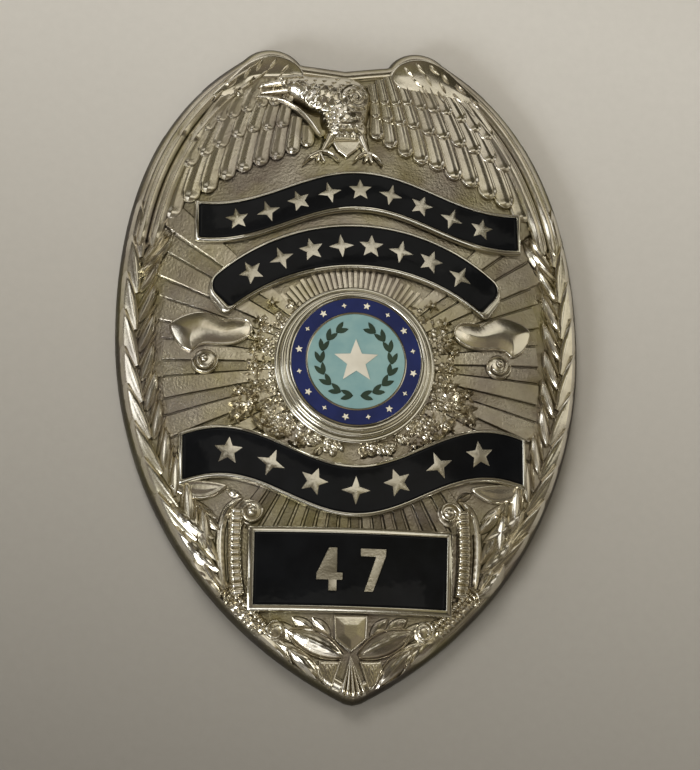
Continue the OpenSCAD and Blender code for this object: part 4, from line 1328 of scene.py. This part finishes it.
def build():
    metal = plated_metal("plated_metal", (0.785, 0.745, 0.645), (0.45, 0.40, 0.205), (0.36, 0.31, 0.265),
                         0.17, 0.42, 0.5)
    panel = plated_metal("panel_metal", (0.76, 0.74, 0.66), (0.45, 0.42, 0.33), (0.42, 0.39, 0.33),
                         0.16, 0.34, 0.12)
    steel = plated_metal("pin_steel", (0.60, 0.59, 0.57), (0.42, 0.41, 0.39), (0.36, 0.34, 0.31),
                         0.25, 0.4, 0.2)
    black = enamel("black_enamel", (0.005, 0.0053, 0.006), (0.0075, 0.008, 0.009), gloss=0.12)
    blue = enamel("blue_enamel", (0.0065, 0.0125, 0.07), (0.010, 0.018, 0.10))
    pale = enamel("pale_blue_enamel", (0.20, 0.35, 0.36), (0.27, 0.42, 0.41))
    green = enamel("green_enamel", (0.018, 0.035, 0.022), (0.028, 0.05, 0.03))
    ivory = enamel("white_enamel", (0.72, 0.68, 0.58), (0.62, 0.58, 0.48))

    shield = [make(metal) for make in (shield_body, short_rays, eagle_body, shoulder_line, foot_foliage,
                                       seal_wreath)]
    for side, sign in (("_left", -1), ("_right", 1)):
        for make, name in ((side_rays, "rays"), (leaf_border, "leaf_border"), (wing, "wing"),
                           (ribbon_tail, "ribbon_tail"), (side_scroll, "scroll")):
            shield.append(make(name + side, sign, metal))
    for piece in shield:
        placed(piece, "shield")

    # Each ribbon with the number and size of its stars
    for name, row, count, size in (("upper", UPPER, 9, 1.35), ("middle", MIDDLE, 8, 1.4),
                                   ("lower", LOWER, 7, 1.6)):
        placed(ribbon(name, row, count, size, panel), name + "_ribbon")
        fill = enamel_fill(name + "_fill", lambda inset: ribbon_loop(row, inset), black)
        placed(fill, name + "_enamel")
    placed(number_panel(panel), "number_panel")
    number = enamel_fill("number_fill", number_loop, black, EDGE_W + FRAME_EXTRA + SEAM)
    placed(number, "number_enamel")
    placed(seal_bezel(panel), "seal_bezel")
    placed(seal_disc(panel), "seal_disc")
    for piece, slot, part in zip(seal_enamels(blue, pale, green, ivory),
                                 ("blue_enamel", "pale_blue_enamel", "green_enamel", "white_enamel"),
                                 ("ring", "field", "wreath", "star")):
        placed(piece, "seal_" + part + "_enamel")

    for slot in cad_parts["pin_back"].material_slots:
        slot.material = steel


# Studio


SENSOR_WIDTH = 36.0
CAMERA_AWAY = 420.0
# The photograph is 700 pixels wide, and each is this many millimetres at the badge
PIXEL = 0.1113
FRAME_WIDTH = 700 * PIXEL
CAMERA_TARGET = (-0.10, -1.99, 3.0)
CAMERA_TILT = math.radians(15)
CAMERA_ASIDE = math.radians(7)
CAMERA_ROLL = math.radians(0.725)

# Name, place in metres, size, power, colour, and whether the metal mirrors it
LIGHTS = (
    ("key", (-0.52, -0.48, 0.36), (0.3, 0.22), 2.9, (0.96, 0.98, 1.0), True),
    ("ceiling", (0.05, 0.34, 1.25), (0.9, 0.7), 1.72, (1.0, 0.96, 0.86), True),
    ("left_card", (-0.7, 0.05, 0.4), (0.22, 0.5), 0.66, (0.97, 0.98, 1.0), True),
    ("far_card", (-0.35, 0.72, 0.25), (0.55, 0.25), 0.45, (1.0, 0.98, 0.94), True),
    ("right_card", (0.75, 0.1, 0.3), (0.3, 0.9), 0.55, (1.0, 0.95, 0.8), True),
    ("near_card", (-0.12, -0.8, 0.47), (0.5, 0.22), 0.62, (0.98, 0.98, 0.98), True),
    ("wing_card", (0.36, 0.66, 0.9), (0.6, 0.25), 0.32, (1.0, 0.97, 0.87), True),
    ("top_fill", (-0.12, 0.38, 0.45), (0.25, 0.2), 1.6, (1.0, 0.98, 0.95), False))


def make_camera():
    """The camera of the photograph: 15 degrees towards the foot and 7 to the left of straight above."""
    wx, wy = -math.sin(CAMERA_ASIDE), -math.sin(CAMERA_TILT)
    w = Vector((wx, wy, math.sqrt(1 - wx * wx - wy * wy)))
    r = Vector((0, 1, 0)).cross(w).normalized()
    u = w.cross(r)
    right = r * math.cos(CAMERA_ROLL) - u * math.sin(CAMERA_ROLL)
    up = u * math.cos(CAMERA_ROLL) + r * math.sin(CAMERA_ROLL)
    data = bpy.data.cameras.new("camera")
    camera = bpy.data.objects.new("camera", data)
    bpy.context.scene.collection.objects.link(camera)
    place = (Vector(CAMERA_TARGET) + w * CAMERA_AWAY) * MM
    camera.matrix_world = Matrix.Translation(place) @ Matrix((right, up, w)).transposed().to_4x4()
    data.sensor_fit = "HORIZONTAL"
    data.sensor_width = SENSOR_WIDTH
    data.lens = SENSOR_WIDTH * CAMERA_AWAY / FRAME_WIDTH
    data.clip_start = 0.01
    data.clip_end = 20.0
    data.dof.use_dof = False
    bpy.context.scene.camera = camera


def area_light(name, place, size, power, color, mirrored):
    data = bpy.data.lights.new(name, "AREA")
    data.shape = "RECTANGLE"
    data.size, data.size_y = size
    data.energy = power
    data.color = color
    light = bpy.data.objects.new(name, data)
    light.location = place
    light.visible_glossy = mirrored
    light.rotation_euler = (-Vector(place)).to_track_quat("-Z", "Y").to_euler()
    bpy.context.scene.collection.objects.link(light)


def room():
    """A dim mottled room for the metal to mirror."""
    world = bpy.data.worlds.new("room")
    bpy.context.scene.world = world
    world.use_nodes = True
    tree = world.node_tree
    tree.nodes.clear()
    split = node_with(tree, "SeparateXYZ", {"Vector": coords(tree, "Generated")})
    tones = ramp(tree, split.outputs["Z"], ((0.0, (0.13, 0.12, 0.10)), (0.3, (0.075, 0.069, 0.052)),
                                            (0.7, (0.13, 0.12, 0.083)), (1.0, (0.17, 0.158, 0.12))))
    blotches, hues = noise(tree, 2.6, 2.0, 0.5, "Generated"), noise(tree, 4.5, 2.0, 0.5, "Generated")
    tint = mixed_color(tree, mapped(tree, hues, 0.0, 1.0, 0.4, 0.6), (1.08, 1.02, 0.74), (1.02, 0.90, 1.0))
    tinted = node_with(tree, "VectorMath", {0: tones, 1: tint}, "MULTIPLY").outputs["Vector"]
    light = scaled(tree, tinted, mapped(tree, blotches, 0.25, 1.75, 0.38, 0.62))
    back = node_with(tree, "Background", {"Color": light, "Strength": 1.0})
    node_with(tree, "OutputWorld", {"Surface": back.outputs["Background"]})


def studio():
    mesh = bpy.data.meshes.new("floor")
    mesh.from_pydata([(-0.9, -0.9, 0), (0.9, -0.9, 0), (0.9, 0.9, 0), (-0.9, 0.9, 0)], [], [(0, 1, 2, 3)])
    mesh.materials.append(floor_material())
    floor = bpy.data.objects.new("floor", mesh)
    bpy.context.scene.collection.objects.link(floor)
    for light in LIGHTS:
        area_light(*light)
    room()
    view = bpy.context.scene.view_settings
    view.view_transform = "Standard"
    view.look = "None"
    view.exposure = 0.0


make_camera()
build()
studio()
